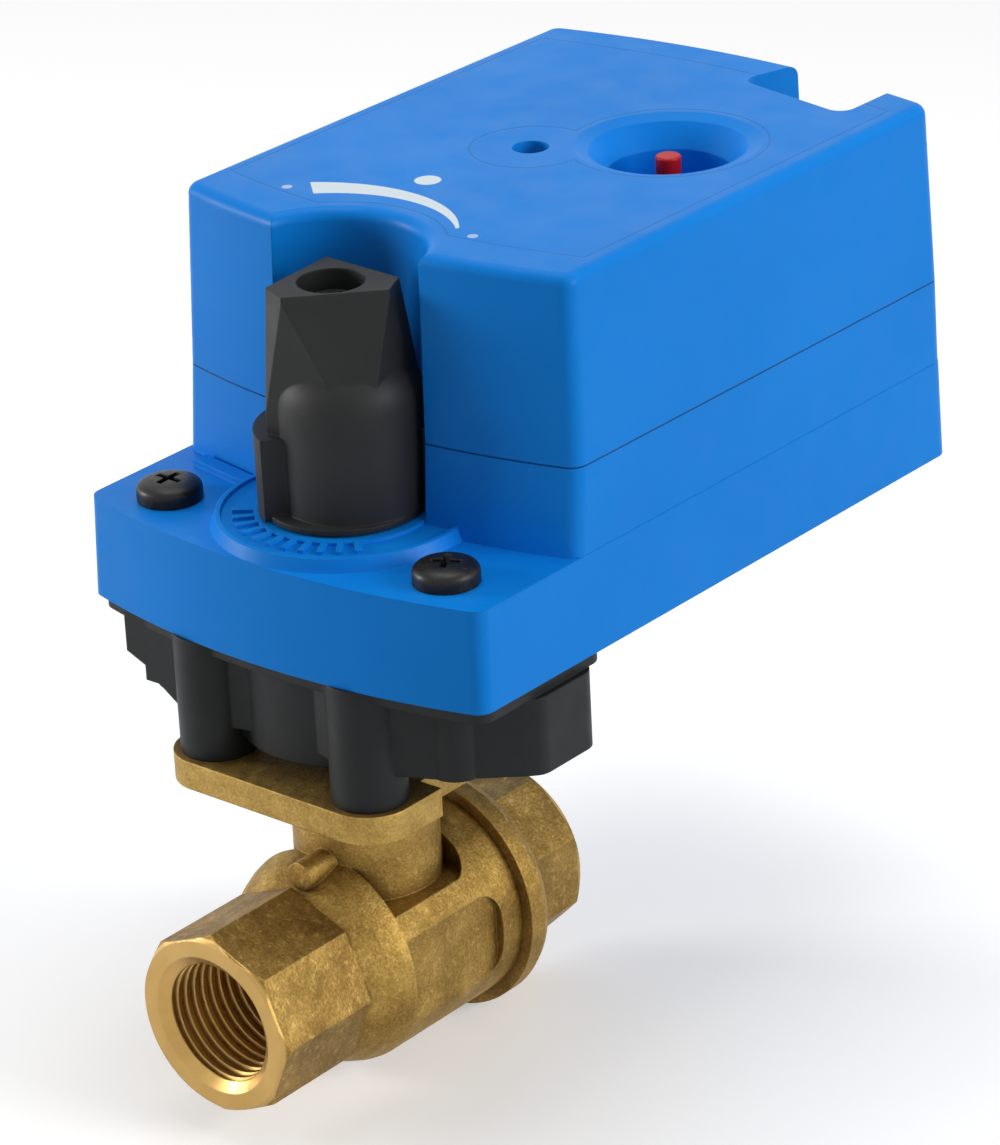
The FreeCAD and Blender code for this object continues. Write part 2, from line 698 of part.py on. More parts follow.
def stem_passage():
    """Cutting tool for the stem: the collar's room, the bore and the boss's mouth."""
    room = STEM_COLLAR_RADIUS + FREE_GAP
    bore = STEM_RADIUS + RUNNING_GAP
    ceiling = THRUST_WASHER_TOP + SEATED_GAP
    above = PAD_TOP + PAST
    return turned_upright([(0, 0), (room, 0), (room, ceiling), (bore, ceiling), (bore, above), (0, above)])


def valve_body():
    """Brass body: inlet port, barrel, stem boss and mounting pad in one casting."""
    port = octagon(INLET_FACE, INLET_PORT_END, 0).common(chamfered_end(INLET_FACE, INLET_PORT_END))
    shell = barrel()
    for panel in side_flats():
        shell = shell.cut(panel)
    shell = shell.cut(platform_pocket())
    boss = cylinder(STEM_BOSS_RADIUS, STEM_BOSS_ROOT, PAD_BOTTOM + PAST)
    lug = pipe_cylinder(LUG_RADIUS, LUG_START, LUG_START + LUG_LENGTH, LUG_X, LUG_LEVEL)
    body = joined([port, shell, boss, mounting_pad(), lug])
    body = body.cut(pipe_cylinder(CAVITY_RADIUS, CAVITY_START, BARREL_END + PAST))
    body = body.cut(pipe_cylinder(SEAT_OUTER + SEATED_GAP, -SEAT_BACK - SEATED_GAP, CAVITY_START + PAST))
    spigot_room = SPIGOT_END - BODY_SEAL_THICKNESS
    body = body.cut(pipe_cylinder(SPIGOT_RADIUS + SEATED_GAP, spigot_room, BARREL_END + PAST))
    body = body.cut(pipe_cylinder(WATERWAY_RADIUS, INLET_FACE, CAVITY_START))
    body = cut_threaded_port(body, INLET_FACE, 1)
    body = body.cut(stem_passage())
    for x, y in FEET:
        body = body.cut(cylinder(PAD_SCREW_RADIUS + SEATED_GAP, PAD_BOTTOM - PAST, PAD_TOP + PAST, x, y))
    return body


def end_connector():
    """Brass end piece: outlet port, collar and the spigot that screws into the body."""
    root = OUTLET_PORT_START + PAST
    bevel = COLLAR_ROUND * (1 - math.sqrt(0.5))
    collar = turned([
        (BARREL_END, 0), (BARREL_END, COLLAR_RADIUS),
        (COLLAR_END - COLLAR_ROUND, COLLAR_RADIUS), (COLLAR_END - bevel, COLLAR_RADIUS - bevel),
        (COLLAR_END, COLLAR_RADIUS - COLLAR_ROUND), (OUTLET_PORT_START, PORT_IN_RADIUS),
        (root, PORT_IN_RADIUS), (root, 0)])
    port = octagon(COLLAR_END, OUTLET_FACE, OUTLET_PORT_TURN).common(chamfered_end(OUTLET_FACE, COLLAR_END))
    spigot = pipe_cylinder(SPIGOT_RADIUS, SPIGOT_END, BARREL_END + PAST)
    nose = pipe_cylinder(CAVITY_RADIUS - SEATED_GAP, NOSE_START, SPIGOT_END + PAST)
    piece = joined([collar, port, spigot, nose])
    piece = piece.cut(pipe_cylinder(WATERWAY_RADIUS, NOSE_START - PAST, OUTLET_FACE))
    piece = piece.cut(pipe_cylinder(SEAT_OUTER + SEATED_GAP, NOSE_START - PAST, SEAT_BACK + SEATED_GAP))
    return cut_threaded_port(piece, OUTLET_FACE, -1)


def body_seal():
    """Flat ring that seals the end connector's spigot in the body."""
    start = SPIGOT_END - BODY_SEAL_THICKNESS
    ring = pipe_cylinder(SPIGOT_RADIUS, start, SPIGOT_END)
    return ring.cut(pipe_cylinder(BODY_SEAL_INNER, start - PAST, SPIGOT_END + PAST))


def seat(side):
    """Sealing ring that the ball turns against, on one side of it."""
    inner_face = math.sqrt(BALL_RADIUS ** 2 - SEAT_OUTER ** 2)
    low, high = sorted((side * inner_face, side * SEAT_BACK))
    ring = pipe_cylinder(SEAT_OUTER, low, high)
    hole = pipe_cylinder(SEAT_INNER, low - PAST, high + PAST)
    return ring.cut(hole).cut(Part.makeSphere(BALL_RADIUS + SLIDING_GAP))


def ball():
    """Bored ball with the slot that the stem's blade sits in."""
    solid = Part.makeSphere(BALL_RADIUS)
    solid = solid.cut(pipe_cylinder(WATERWAY_RADIUS, -BALL_RADIUS - PAST, BALL_RADIUS + PAST))
    half = BALL_SLOT_WIDTH / 2
    slot = block(-BALL_RADIUS, BALL_RADIUS, -half, half, BALL_SLOT_FLOOR, BALL_RADIUS + PAST)
    return solid.cut(slot)


def stem():
    """Stem with its blade, collar, ring grooves and square top."""
    half = BALL_SLOT_WIDTH / 2 - RUNNING_GAP
    foot = BALL_SLOT_FLOOR + RUNNING_GAP
    blade = block(-STEM_RADIUS, STEM_RADIUS, -half, half, foot, STEM_COLLAR_BOTTOM + PAST)
    collar = cylinder(STEM_COLLAR_RADIUS, STEM_COLLAR_BOTTOM, STEM_COLLAR_TOP)
    shaft = cylinder(STEM_RADIUS, STEM_COLLAR_BOTTOM, STEM_SQUARE_START)
    square = square_bar(STEM_SQUARE, STEM_SQUARE_START - PAST, STEM_TOP)
    piece = joined([blade, collar, shaft, square])
    groove_half = STEM_RING_WIRE / 2 + SEATED_GAP
    for level in STEM_RING_LEVELS:
        piece = piece.cut(tube(STEM_RADIUS + PAST, STEM_RADIUS - STEM_RING_DEPTH, level - groove_half,
                               level + groove_half))
    return piece


def thrust_washer():
    """Slippery washer between the stem's collar and the body."""
    return tube(STEM_COLLAR_RADIUS, STEM_RADIUS + RUNNING_GAP, STEM_COLLAR_TOP, THRUST_WASHER_TOP)


def stem_rings():
    """Two sealing rings in the stem's grooves."""
    inner = STEM_RADIUS - STEM_RING_DEPTH + SEATED_GAP
    half = STEM_RING_WIRE / 2
    rings = []
    for level in STEM_RING_LEVELS:
        ring = tube(STEM_RADIUS, inner, level - half, level + half)
        rims = [edge for edge in ring.Edges if edge.Curve.TypeId == "Part::GeomCircle"]
        rings.append(ring.makeFillet(STEM_RING_ROUND, rims))
    return group(rings)


# Mounting bracket

def bowed_line(start, end, bulge):
    """Edge between two points of one y, straight or bowed along y by a bulge."""
    if bulge == 0:
        return Part.makeLine(start, end)
    return Part.Arc(start, V((start.x + end.x) / 2, start.y + bulge, start.z), end).toShape()


def plan_outline(half_width, front, rear, level, inset=0.0, bulges=(FRONT_BULGE, REAR_BULGE)):
    """Plan outline of the housing at a level: straight sides and bowed ends."""
    side = half_width - inset
    left_front = V(-side, front + inset, level)
    right_front = V(side, front + inset, level)
    right_rear = V(side, rear - inset, level)
    left_rear = V(-side, rear - inset, level)
    return Part.Wire([
        bowed_line(left_front, right_front, -bulges[0]), Part.makeLine(right_front, right_rear),
        bowed_line(right_rear, left_rear, bulges[1]), Part.makeLine(left_rear, left_front)])


def lobe(side):
    """Thick wing of the bracket that reaches out under one side of the actuator."""
    toe = -PAD_BOLT - LOBE_TOE
    nose_rear = LOBE_NOSE_Y + LOBE_NOSE_CUT

    def plan(wall):
        knee = LOBE_KNEE_X - wall
        end = LOBE_SIDE - wall
        nose = end - LOBE_NOSE_CUT
        points = [
            (0, -PAD_BOLT), (PAD_BOLT, toe), (knee, LOBE_KNEE_Y), (nose, LOBE_NOSE_Y), (end, nose_rear)]
        front = [(side * x, y + wall) for x, y in points]
        return front + [(side * end, LOBE_REAR - wall), (0, LOBE_REAR - wall)]

    wing = prism(plan(0), LOBE_BOTTOM, BRACKET_PLATE_BOTTOM)
    uprights = [edge for edge in wing.Edges if is_upright(edge)]
    knee = [edge for edge in uprights if abs(abs(edge.CenterOfMass.x) - LOBE_KNEE_X) < PAST]
    wing = wing.makeFillet(LOBE_KNEE_ROUND, knee)
    beyond = LOBE_SIDE - LOBE_NOSE_CUT - PAST
    nose = [edge for edge in wing.Edges if is_upright(edge) and abs(edge.CenterOfMass.x) > beyond]
    wing = wing.makeFillet(LOBE_ROUND, nose)
    return wing.cut(prism(plan(LOBE_WALL), LOBE_BOTTOM + LOBE_WALL, BRACKET_TOP + PAST))


def ear_rib():
    """Stepped rib in front of the left screw tube, from the plate down to the foot."""
    return front_prism([
        (-EAR_REACH, BRACKET_TOP), (-EAR_REACH, EAR_CORNER_LEVEL), (-EAR_STEP, EAR_STEP_LEVEL),
        (-EAR_STEP, EAR_TOE_LEVEL), (-EAR_TOE, EAR_TOE_LEVEL), (-EAR_FOOT, EAR_FOOT_LEVEL),
        (-PAD_BOLT, DRUM_BOTTOM), (-PAD_BOLT, BRACKET_TOP)], EAR_FRONT, EAR_FRONT + EAR_DEPTH)


def bracket_plate():
    """Thin plate of the bracket that the actuator stands on."""
    rear = BRACKET_PLATE_REAR + BRACKET_PLATE_INSET
    outline = plan_outline(HALF_WIDTH_BOTTOM, FLANGE_FRONT_BOTTOM, rear, BRACKET_PLATE_BOTTOM,
                           BRACKET_PLATE_INSET, (BRACKET_PLATE_BULGE, 0))
    plate = Part.Face(outline).extrude(V(0, 0, BRACKET_PLATE_THICKNESS))
    return round_uprights(plate, BRACKET_PLATE_CORNER)


def foot_passage(x, y):
    """Stepped cutting tool for a foot's screw and its sunk head."""
    bore = PAD_SCREW_RADIUS + SEATED_GAP
    room = BRACKET_SCREW_HEAD_RADIUS + FREE_GAP
    below = PAD_TOP - PAST
    above = BRACKET_TOP + PAST
    return turned_upright([
        (0, below), (bore, below), (bore, BRACKET_SCREW_LEVEL), (room, BRACKET_SCREW_LEVEL), (room, above),
        (0, above)], x, y)


def mounting_bracket():
    """Black plastic bracket: drum round the drive, four feet, two wings and a plate."""
    parts = [bracket_plate(), cylinder(DRUM_RADIUS, DRUM_BOTTOM, BRACKET_TOP), lobe(-1), lobe(1), ear_rib()]
    parts += [cylinder(FOOT_RADIUS, PAD_TOP, BRACKET_TOP, x, y) for x, y in FEET]
    parts += [cylinder(FLANGE_TUBE_RADIUS, LOBE_BOTTOM, BRACKET_TOP, x, y) for x, y in EARS]
    bracket = joined(parts)
    room = cylinder(DRUM_RADIUS - DRUM_WALL, DRUM_BOTTOM + DRUM_WALL, BRACKET_TOP + PAST)
    for x, y in FEET:
        room = room.cut(cylinder(FOOT_RADIUS, PAD_TOP, BRACKET_TOP + 2 * PAST, x, y))
    bracket = bracket.cut(room)
    bracket = bracket.cut(cylinder(DRIVE_COUPLER_RADIUS + DRUM_HOLE_GAP, DRUM_BOTTOM - PAST, BRACKET_TOP))
    for x, y in FEET:
        bracket = bracket.cut(foot_passage(x, y))
    for x, y in EARS:
        hole = cylinder(FLANGE_SCREW_RADIUS + SEATED_GAP, FLANGE_SCREW_END - PAST, BRACKET_TOP + PAST, x, y)
        bracket = bracket.cut(hole)
    return bracket


def bracket_screws():
    """Four screws that hold the bracket's feet on the valve's pad."""
    return group(
        pan_screw(x, y, BRACKET_SCREW_LEVEL, BRACKET_SCREW_HEAD_RADIUS, BRACKET_SCREW_HEAD_HEIGHT,
                  PAD_SCREW_RADIUS, PAD_BOTTOM)
        for x, y in FEET)


# Housing

def tapered(lower, upper):
    """Solid between two plan outlines."""
    return Part.makeLoft([lower, upper], True, True)


def base_slab():
    """Outside of the wide lower part of the base."""
    lower = plan_outline(HALF_WIDTH_BOTTOM, FLANGE_FRONT_BOTTOM, REAR_BOTTOM, HOUSING_BOTTOM)
    upper = plan_outline(HALF_WIDTH_FLANGE, FLANGE_FRONT_TOP, REAR_FLANGE, FLANGE_TOP)
    return round_uprights(tapered(lower, upper), HOUSING_CORNER)


def base_box():
    """Outside of the base's upper part, behind the flange and a hair inside its edge."""
    low_level = FLANGE_TOP - BOX_LEDGE
    lower = plan_outline(HALF_WIDTH_FLANGE, BOX_FRONT_FLANGE, REAR_FLANGE, low_level, BOX_LEDGE)
    upper = plan_outline(HALF_WIDTH_SEAM, BOX_FRONT_SEAM, REAR_SEAM, SEAM)
    return round_uprights(tapered(lower, upper), HOUSING_CORNER)


def base_room():
    """Room inside the base, in two parts."""
    wall = HOUSING_WALL
    low = tapered(
        plan_outline(HALF_WIDTH_BOTTOM, FLANGE_FRONT_BOTTOM, REAR_BOTTOM, FLOOR_TOP, wall),
        plan_outline(HALF_WIDTH_FLANGE, FLANGE_FRONT_TOP, REAR_FLANGE, FLANGE_UNDERSIDE, wall))
    wall += BOX_LEDGE
    high = tapered(
        plan_outline(HALF_WIDTH_FLANGE, BOX_FRONT_FLANGE, REAR_FLANGE, FLANGE_UNDERSIDE - PAST, wall),
        plan_outline(HALF_WIDTH_SEAM, BOX_FRONT_SEAM, REAR_SEAM, SEAM + PAST, wall))
    high = high.cut(cylinder(RECESS_WALL_RADIUS, FLANGE_UNDERSIDE, SEAM + 2 * PAST, RECESS_X))
    return low, high


def scale_ring():
    """Raised disc on the flange round the handle, with a rim and ribs."""
    top = SCALE_RING_TOP
    floor = top - SCALE_GROOVE_DEPTH
    upper_radius = SCALE_RING_OUTER - SCALE_RING_SLOPE
    disc = Part.makeCone(SCALE_RING_OUTER, upper_radius, SCALE_RING_HEIGHT, V(0, 0, FLANGE_TOP))
    pieces = [disc.cut(tube(SCALE_RIM_INNER, SCALE_TICK_INNER, floor, top + PAST))]
    half = SCALE_TICK_WIDTH / 2
    for index in range(SCALE_TICK_COUNT):
        tick = block(SCALE_TICK_INNER - half, SCALE_TICK_OUTER, -half, half, floor, top)
        tick.rotate(V(0, 0, 0), V(0, 0, 1), SCALE_TICK_START + index * SCALE_TICK_STEP)
        pieces.append(tick)
    reach = 2 * SCALE_RING_OUTER
    rear = block(-reach, reach, BOX_FRONT_FLANGE, reach, FLANGE_TOP - PAST, top + PAST)
    rear = rear.cut(cylinder(RECESS_RADIUS + PAST, FLANGE_TOP - PAST, top + PAST, RECESS_X))
    return [piece.cut(rear) for piece in pieces]


def stop_bar():
    """Low bar on the flange beside the handle."""
    return prism(STOP_BAR_CORNERS, FLANGE_TOP, FLANGE_TOP + STOP_BAR_HEIGHT)


def cover_screw_places():
    """Where the four screws that close the housing stand."""
    return four_corners(COVER_SCREW_X, COVER_SCREW_FRONT_Y, COVER_SCREW_REAR_Y)


def base_additions():
    """Tubes, bosses and the ribbed disc that stand on the base's walls."""
    sunk = PAST / 2
    pieces = [cylinder(FLANGE_TUBE_RADIUS, FLOOR_TOP - sunk, FLANGE_UNDERSIDE + sunk, x, y) for x, y in EARS]
    pieces += [cylinder(COVER_TUBE_RADIUS, FLOOR_TOP - sunk, SEAM, x, y) for x, y in cover_screw_places()]
    for x, y in SHAFTS:
        pieces.append(cylinder(SHAFT_BOSS_RADIUS, FLOOR_TOP, FLOOR_TOP + SHAFT_BOSS_HEIGHT, x, y))
    for x, y in four_corners(PILLAR_X, PILLAR_FRONT_Y, PILLAR_REAR_Y):
        pieces.append(cylinder(PILLAR_FOOT_RADIUS, FLOOR_TOP, FLOOR_TOP + PILLAR_FOOT_HEIGHT, x, y))
    return pieces + scale_ring() + [stop_bar()]


def base_holes():
    """Cutting tools for the base's bush seats, screw holes and shaft holes."""
    below = HOUSING_BOTTOM - PAST
    holes = [
        cylinder(HUB_SPIGOT_RADIUS + RUNNING_GAP + BUSH_WALL + SEATED_GAP, below, FLOOR_TOP + PAST),
        cylinder(HUB_RADIUS + RUNNING_GAP + BUSH_WALL + SEATED_GAP, FLANGE_UNDERSIDE - PAST,
                 SCALE_RING_TOP + PAST)]
    for x, y in EARS:
        holes.append(cylinder(FLANGE_SCREW_RADIUS + SEATED_GAP, below, FLANGE_TOP + PAST, x, y))
    for x, y in cover_screw_places():
        holes.append(cylinder(COVER_SCREW_RADIUS + SEATED_GAP, below, SEAM + PAST, x, y))
        holes.append(cylinder(COVER_SCREW_HEAD_RADIUS + HEAD_GAP, below, COVER_SCREW_SEAT, x, y))
    for x, y in SHAFTS:
        top = FLOOR_TOP + SHAFT_BOSS_HEIGHT + PAST
        holes.append(cylinder(SHAFT_RADIUS + SEATED_GAP, FLOOR_TOP - SHAFT_FOOT_DEPTH, top, x, y))
    return holes


def housing_base():
    """Blue lower shell of the actuator with the flange, tubes and shaft bosses."""
    shell = base_slab().fuse(base_box()).removeSplitter()
    shell = shell.cut(cylinder(RECESS_RADIUS, FLANGE_TOP, SEAM + PAST, RECESS_X))
    for room in base_room():
        shell = shell.cut(room)
    shell = shell.fuse(base_additions()).removeSplitter()
    for hole in base_holes():
        shell = shell.cut(hole)
    return shell


def cover_outside():
    """Outside of the cover, with its top edge rounded."""
    lower = plan_outline(HALF_WIDTH_SEAM, BOX_FRONT_SEAM, REAR_SEAM, SEAM)
    upper = plan_outline(HALF_WIDTH_TOP, BOX_FRONT_TOP, REAR_TOP, HOUSING_TOP)
    solid = round_uprights(tapered(lower, upper), HOUSING_CORNER)
    solid = solid.cut(cylinder(RECESS_RADIUS, SEAM - PAST, HOUSING_TOP + PAST, RECESS_X))
    top = [edge for edge in solid.Edges if edge.BoundBox.ZMin > HOUSING_TOP - 0.01]
    return solid.makeFillet(COVER_EDGE_ROUND, top)


def notch_outline(grow=0.0):
    """Plan of the rear notch, grown outward by a wall if asked."""
    left_x, left_y = NOTCH_FRONT_LEFT
    right_x, right_y = NOTCH_FRONT_RIGHT
    rear_left_x, rear_left_y = NOTCH_REAR_LEFT
    rear_right_x, rear_right_y = NOTCH_REAR_RIGHT
    return [
        (left_x - grow, left_y - grow), (right_x + grow, right_y - grow),
        (rear_right_x + grow, rear_right_y), (rear_left_x - grow, rear_left_y)]


def dish_profile(wall=0.0):
    """Half section of the dish round the red button, grown by a wall if asked."""
    above = HOUSING_TOP + PAST
    rim = DISH_RIM_RADIUS + wall
    floor = DISH_FLOOR - wall
    lip = HOUSING_TOP - DISH_LIP_DROP - wall / 2
    return [
        (0, above), (rim, above), (rim, HOUSING_TOP), (DISH_LIP_RADIUS + wall, lip),
        (DISH_STEP_RADIUS + wall, DISH_STEP_LEVEL - wall / 2), (DISH_FLOOR_RADIUS + wall, floor), (0, floor)]


def cover_room():
    """Room inside the cover, without the walls and tubes that stand in it."""
    lower = plan_outline(HALF_WIDTH_SEAM, BOX_FRONT_SEAM, REAR_SEAM, SEAM - PAST, HOUSING_WALL)
    upper = plan_outline(HALF_WIDTH_TOP, BOX_FRONT_TOP, REAR_TOP, COVER_UNDERSIDE, HOUSING_WALL)
    kept = [cylinder(RECESS_WALL_RADIUS, SEAM - 2 * PAST, HOUSING_TOP + PAST, RECESS_X)]
    kept += [cylinder(COVER_TUBE_RADIUS, SEAM, HOUSING_TOP, x, y) for x, y in cover_screw_places()]
    kept.append(turned_upright(dish_profile(DISH_WALL), DISH_X, DISH_Y))
    kept.append(prism(notch_outline(NOTCH_WALL), BOARD_TOP + FREE_GAP, HOUSING_TOP))
    room = tapered(lower, upper)
    for piece in kept:
        room = room.cut(piece)
    return room


def terminal_room():
    """Room under the rear notch that the terminal block stands in."""
    inner_rear = REAR_TOP + REAR_BULGE - HOUSING_WALL
    outline = [(x, min(y, inner_rear)) for x, y in notch_outline()]
    behind = block(-HALF_WIDTH_TOP, HALF_WIDTH_TOP, TERMINAL_Y + TERMINAL_DEPTH / 2 + FREE_GAP,
                   REAR_TOP + REAR_BULGE, BOARD_BOTTOM, HOUSING_TOP)
    return prism(outline, BOARD_TOP, NOTCH_FLOOR + PAST).cut(behind)


def housing_cover():
    """Blue upper shell with the handle's recess, the dish, the hole and the notch."""
    cover = cover_outside().cut(cover_room())
    cover = cover.cut(turned_upright(dish_profile(), DISH_X, DISH_Y))
    cover = cover.cut(round_uprights(prism(notch_outline(), NOTCH_FLOOR, HOUSING_TOP + PAST), NOTCH_CORNER))
    cover = cover.cut(terminal_room())
    cover = cover.cut(cylinder(BUTTON_RADIUS + SLIDING_GAP, BOARD_TOP, HOUSING_TOP, DISH_X, DISH_Y))
    cover = cover.cut(cylinder(SELECTOR_HOLE_RADIUS, COVER_UNDERSIDE - PAST, HOUSING_TOP + PAST,
                               SELECTOR_X, SELECTOR_Y))
    screw_end = SEAM + COVER_SCREW_REACH + PAST
    for x, y in cover_screw_places():
        cover = cover.cut(cylinder(COVER_SCREW_RADIUS + SEATED_GAP, SEAM - PAST, screw_end, x, y))
    return cover


def cover_screws():
    """Four screws that come up from below and close the housing."""
    screws = []
    low = COVER_SCREW_SEAT - COVER_SCREW_HEAD_HEIGHT
    for x, y in cover_screw_places():
        head = cylinder(COVER_SCREW_HEAD_RADIUS, low, COVER_SCREW_SEAT, x, y)
        shank = cylinder(COVER_SCREW_RADIUS, COVER_SCREW_SEAT, SEAM + COVER_SCREW_REACH, x, y)
        socket = cylinder(COVER_SCREW_RADIUS, low - PAST, low + COVER_SCREW_SOCKET_DEPTH, x, y)
        screws.append(head.fuse(shank).removeSplitter().cut(socket))
    return group(screws)


def flange_screws():
    """Two black pan-head screws that hold the actuator's flange on the bracket."""
    return group(
        pan_screw(x, y, FLANGE_TOP, FLANGE_SCREW_HEAD_RADIUS, FLANGE_SCREW_HEAD_HEIGHT, FLANGE_SCREW_RADIUS,
                  FLANGE_SCREW_END)
        for x, y in EARS)


# Drive from the hub to the ball

def drive_coupler():
    """Steel coupler that carries the hub's turn down to the stem's square."""
    lower = cylinder(DRIVE_COUPLER_RADIUS, DRIVE_COUPLER_BOTTOM, HUB_BOTTOM - SEATED_GAP)
    peg = square_bar(DRIVE_SQUARE, HUB_BOTTOM - PAST, DRIVE_PEG_TOP)
    socket = square_bar(STEM_SQUARE + 2 * SEATED_GAP, DRIVE_COUPLER_BOTTOM - PAST, STEM_TOP + SEATED_GAP)
    return lower.fuse(peg).removeSplitter().cut(socket)


def output_hub():
    """Hub that the last gear turns: it carries the handle above and the coupler below."""
    shoulder = SECTOR_BOTTOM + SECTOR_THICKNESS
    hub = turned_upright([
        (0, HUB_BOTTOM), (HUB_SPIGOT_RADIUS, HUB_BOTTOM), (HUB_SPIGOT_RADIUS, shoulder),
        (HUB_RADIUS, shoulder), (HUB_RADIUS, HANDLE_BOTTOM), (HUB_NOSE_RADIUS, HANDLE_BOTTOM),
        (HUB_NOSE_RADIUS, HUB_TOP), (0, HUB_TOP)])
    hub = hub.cut(square_bar(DRIVE_SQUARE + 2 * SEATED_GAP, HUB_BOTTOM - PAST, DRIVE_PEG_TOP + SEATED_GAP))
    return hub.cut(cylinder(HANDLE_SCREW_RADIUS + SEATED_GAP, HANDLE_SCREW_END - PAST, HUB_TOP + PAST))


def lower_bush():
    """Bearing bush of the hub in the base's floor."""
    inner = HUB_SPIGOT_RADIUS + RUNNING_GAP
    sleeve = tube(inner + BUSH_WALL, inner, HOUSING_BOTTOM, FLOOR_TOP)
    flange = tube(inner + BUSH_WALL + BUSH_FLANGE, inner, FLOOR_TOP, FLOOR_TOP + PAST)
    return sleeve.fuse(flange).removeSplitter()


def upper_bush():
    """Bearing bush of the hub in the flange's top."""
    inner = HUB_RADIUS + RUNNING_GAP
    return tube(inner + BUSH_WALL, inner, FLANGE_UNDERSIDE, SCALE_RING_TOP)


def handle_slope():
    """Cutting wedge for the flat slope opposite the pointer's tip."""
    reach = HANDLE_SKIRT_RADIUS + PAST
    return front_prism([
        (-HANDLE_SLOPE_TOP, HANDLE_TOP), (-HANDLE_SLOPE_FOOT, HANDLE_SLOPE_LEVEL),
        (-reach, HANDLE_SLOPE_LEVEL), (-reach, HANDLE_TOP + PAST), (-HANDLE_SLOPE_TOP, HANDLE_TOP + PAST)],
        -reach, reach)


def handle_neck():
    """Five-sided neck of the handle, wide at its foot, with the pointer's tip towards +X."""
    top = [HANDLE_TIP, HANDLE_LEFT, HANDLE_LEFT_FRONT, HANDLE_RIGHT_FRONT, HANDLE_RIGHT]
    foot = [HANDLE_FOOT_TIP, HANDLE_FOOT_LEFT, HANDLE_FOOT_LEFT_FRONT, HANDLE_FOOT_RIGHT_FRONT,
            HANDLE_FOOT_RIGHT]
    upper = facets_between(foot, HANDLE_NECK_FOOT, top, HANDLE_TOP)
    return joined([upper, prism(foot, HANDLE_DRUM_BOTTOM, HANDLE_NECK_FOOT)])


def handle_drum():
    """Round front of the handle with its domed shoulder."""
    drum = cylinder(HANDLE_DRUM_RADIUS, HANDLE_DRUM_BOTTOM, HANDLE_DRUM_TOP, 0, HANDLE_DRUM_Y)
    rim = [edge for edge in drum.Edges if edge.BoundBox.ZMin > HANDLE_DRUM_TOP - PAST]
    return drum.makeFillet(HANDLE_DRUM_ROUND, rim)


def handle_outside():
    """Outside of the handle, pointing along +X: ring, drum, neck with its slope, and rear skirt."""
    low = HANDLE_BOTTOM
    reach = HANDLE_SKIRT_RADIUS + PAST
    neck = handle_neck().cut(handle_slope())
    skirt = cylinder(HANDLE_SKIRT_RADIUS, low, HANDLE_SKIRT_TOP)
    skirt = skirt.common(block(-HANDLE_SKIRT_FRONT, reach, -reach, reach, low, HANDLE_SKIRT_TOP))
    ring = cylinder(HANDLE_RING_RADIUS, low, HANDLE_DRUM_BOTTOM)
    return joined([ring, handle_drum().cut(handle_slope()), neck, skirt])


def handle():
    """Black handle with its pocket, screw hole and the hub's socket."""
    solid = handle_outside()
    solid = solid.cut(cylinder(HUB_NOSE_RADIUS + SEATED_GAP, HANDLE_BOTTOM - PAST, HUB_TOP + SEATED_GAP))
    solid = solid.cut(cylinder(HANDLE_SCREW_RADIUS + SEATED_GAP, HUB_TOP, HANDLE_TOP))
    solid = solid.cut(cylinder(HANDLE_POCKET_RADIUS, HANDLE_POCKET_FLOOR, HANDLE_TOP + PAST))
    solid.rotate(V(0, 0, 0), V(0, 0, 1), HANDLE_REST_TURN)
    return solid


def handle_screw():
    """Screw in the handle's pocket that holds the handle on the hub."""
    return pan_screw(0, 0, HANDLE_POCKET_FLOOR, HANDLE_SCREW_HEAD_RADIUS, HANDLE_SCREW_HEAD_HEIGHT,
                     HANDLE_SCREW_RADIUS, HANDLE_SCREW_END)


# Gear train

def output_gear():
    """Toothed quarter of a wheel on the hub, long enough for the valve's quarter turn."""
    low = SECTOR_BOTTOM
    high = low + SECTOR_THICKNESS
    wheel = gear(SECTOR_TEETH, low, high, 0, 0, HUB_TO_FIRST)
    reach = MODULE * SECTOR_TEETH
    slice_points = [(0, 0)]
    for turn in (-SECTOR_MARGIN, TURN_RANGE / 2, TURN_RANGE + SECTOR_MARGIN):
        angle = math.radians(HUB_TO_FIRST + turn)
        slice_points.append((reach * math.cos(angle), reach * math.sin(angle)))
    sector = wheel.common(prism(slice_points, low, high))
    solid = sector.fuse(cylinder(HUB_SPIGOT_RADIUS + SECTOR_HUB_WALL, low, high)).removeSplitter()
    return solid.cut(cylinder(HUB_SPIGOT_RADIUS + SEATED_GAP, low - PAST, high + PAST))


def first_gear():
    """Compound gear between the output gear and the clutch gear."""
    x, y = FIRST_X, FIRST_Y
    low = FLOOR_TOP + SHAFT_BOSS_HEIGHT + FREE_GAP
    wheel_top = FIRST_WHEEL_BOTTOM + WHEEL_THICKNESS
    pinion_turn = meshing_turn(PINION_TEETH, HUB_TO_FIRST + 180)
    pinion = gear(PINION_TEETH, low, FIRST_WHEEL_BOTTOM, x, y, pinion_turn)
    wheel = gear(FIRST_WHEEL_TEETH, FIRST_WHEEL_BOTTOM, wheel_top, x, y, FIRST_TO_CLUTCH)
    hub = cylinder(PINION_RADIUS, FIRST_WHEEL_BOTTOM, GEAR_PLATE_BOTTOM - FREE_GAP, x, y)
    bore = cylinder(SHAFT_RADIUS + RUNNING_GAP, FLOOR_TOP, GEAR_PLATE_TOP, x, y)
    return joined([pinion, wheel, hub]).cut(bore)


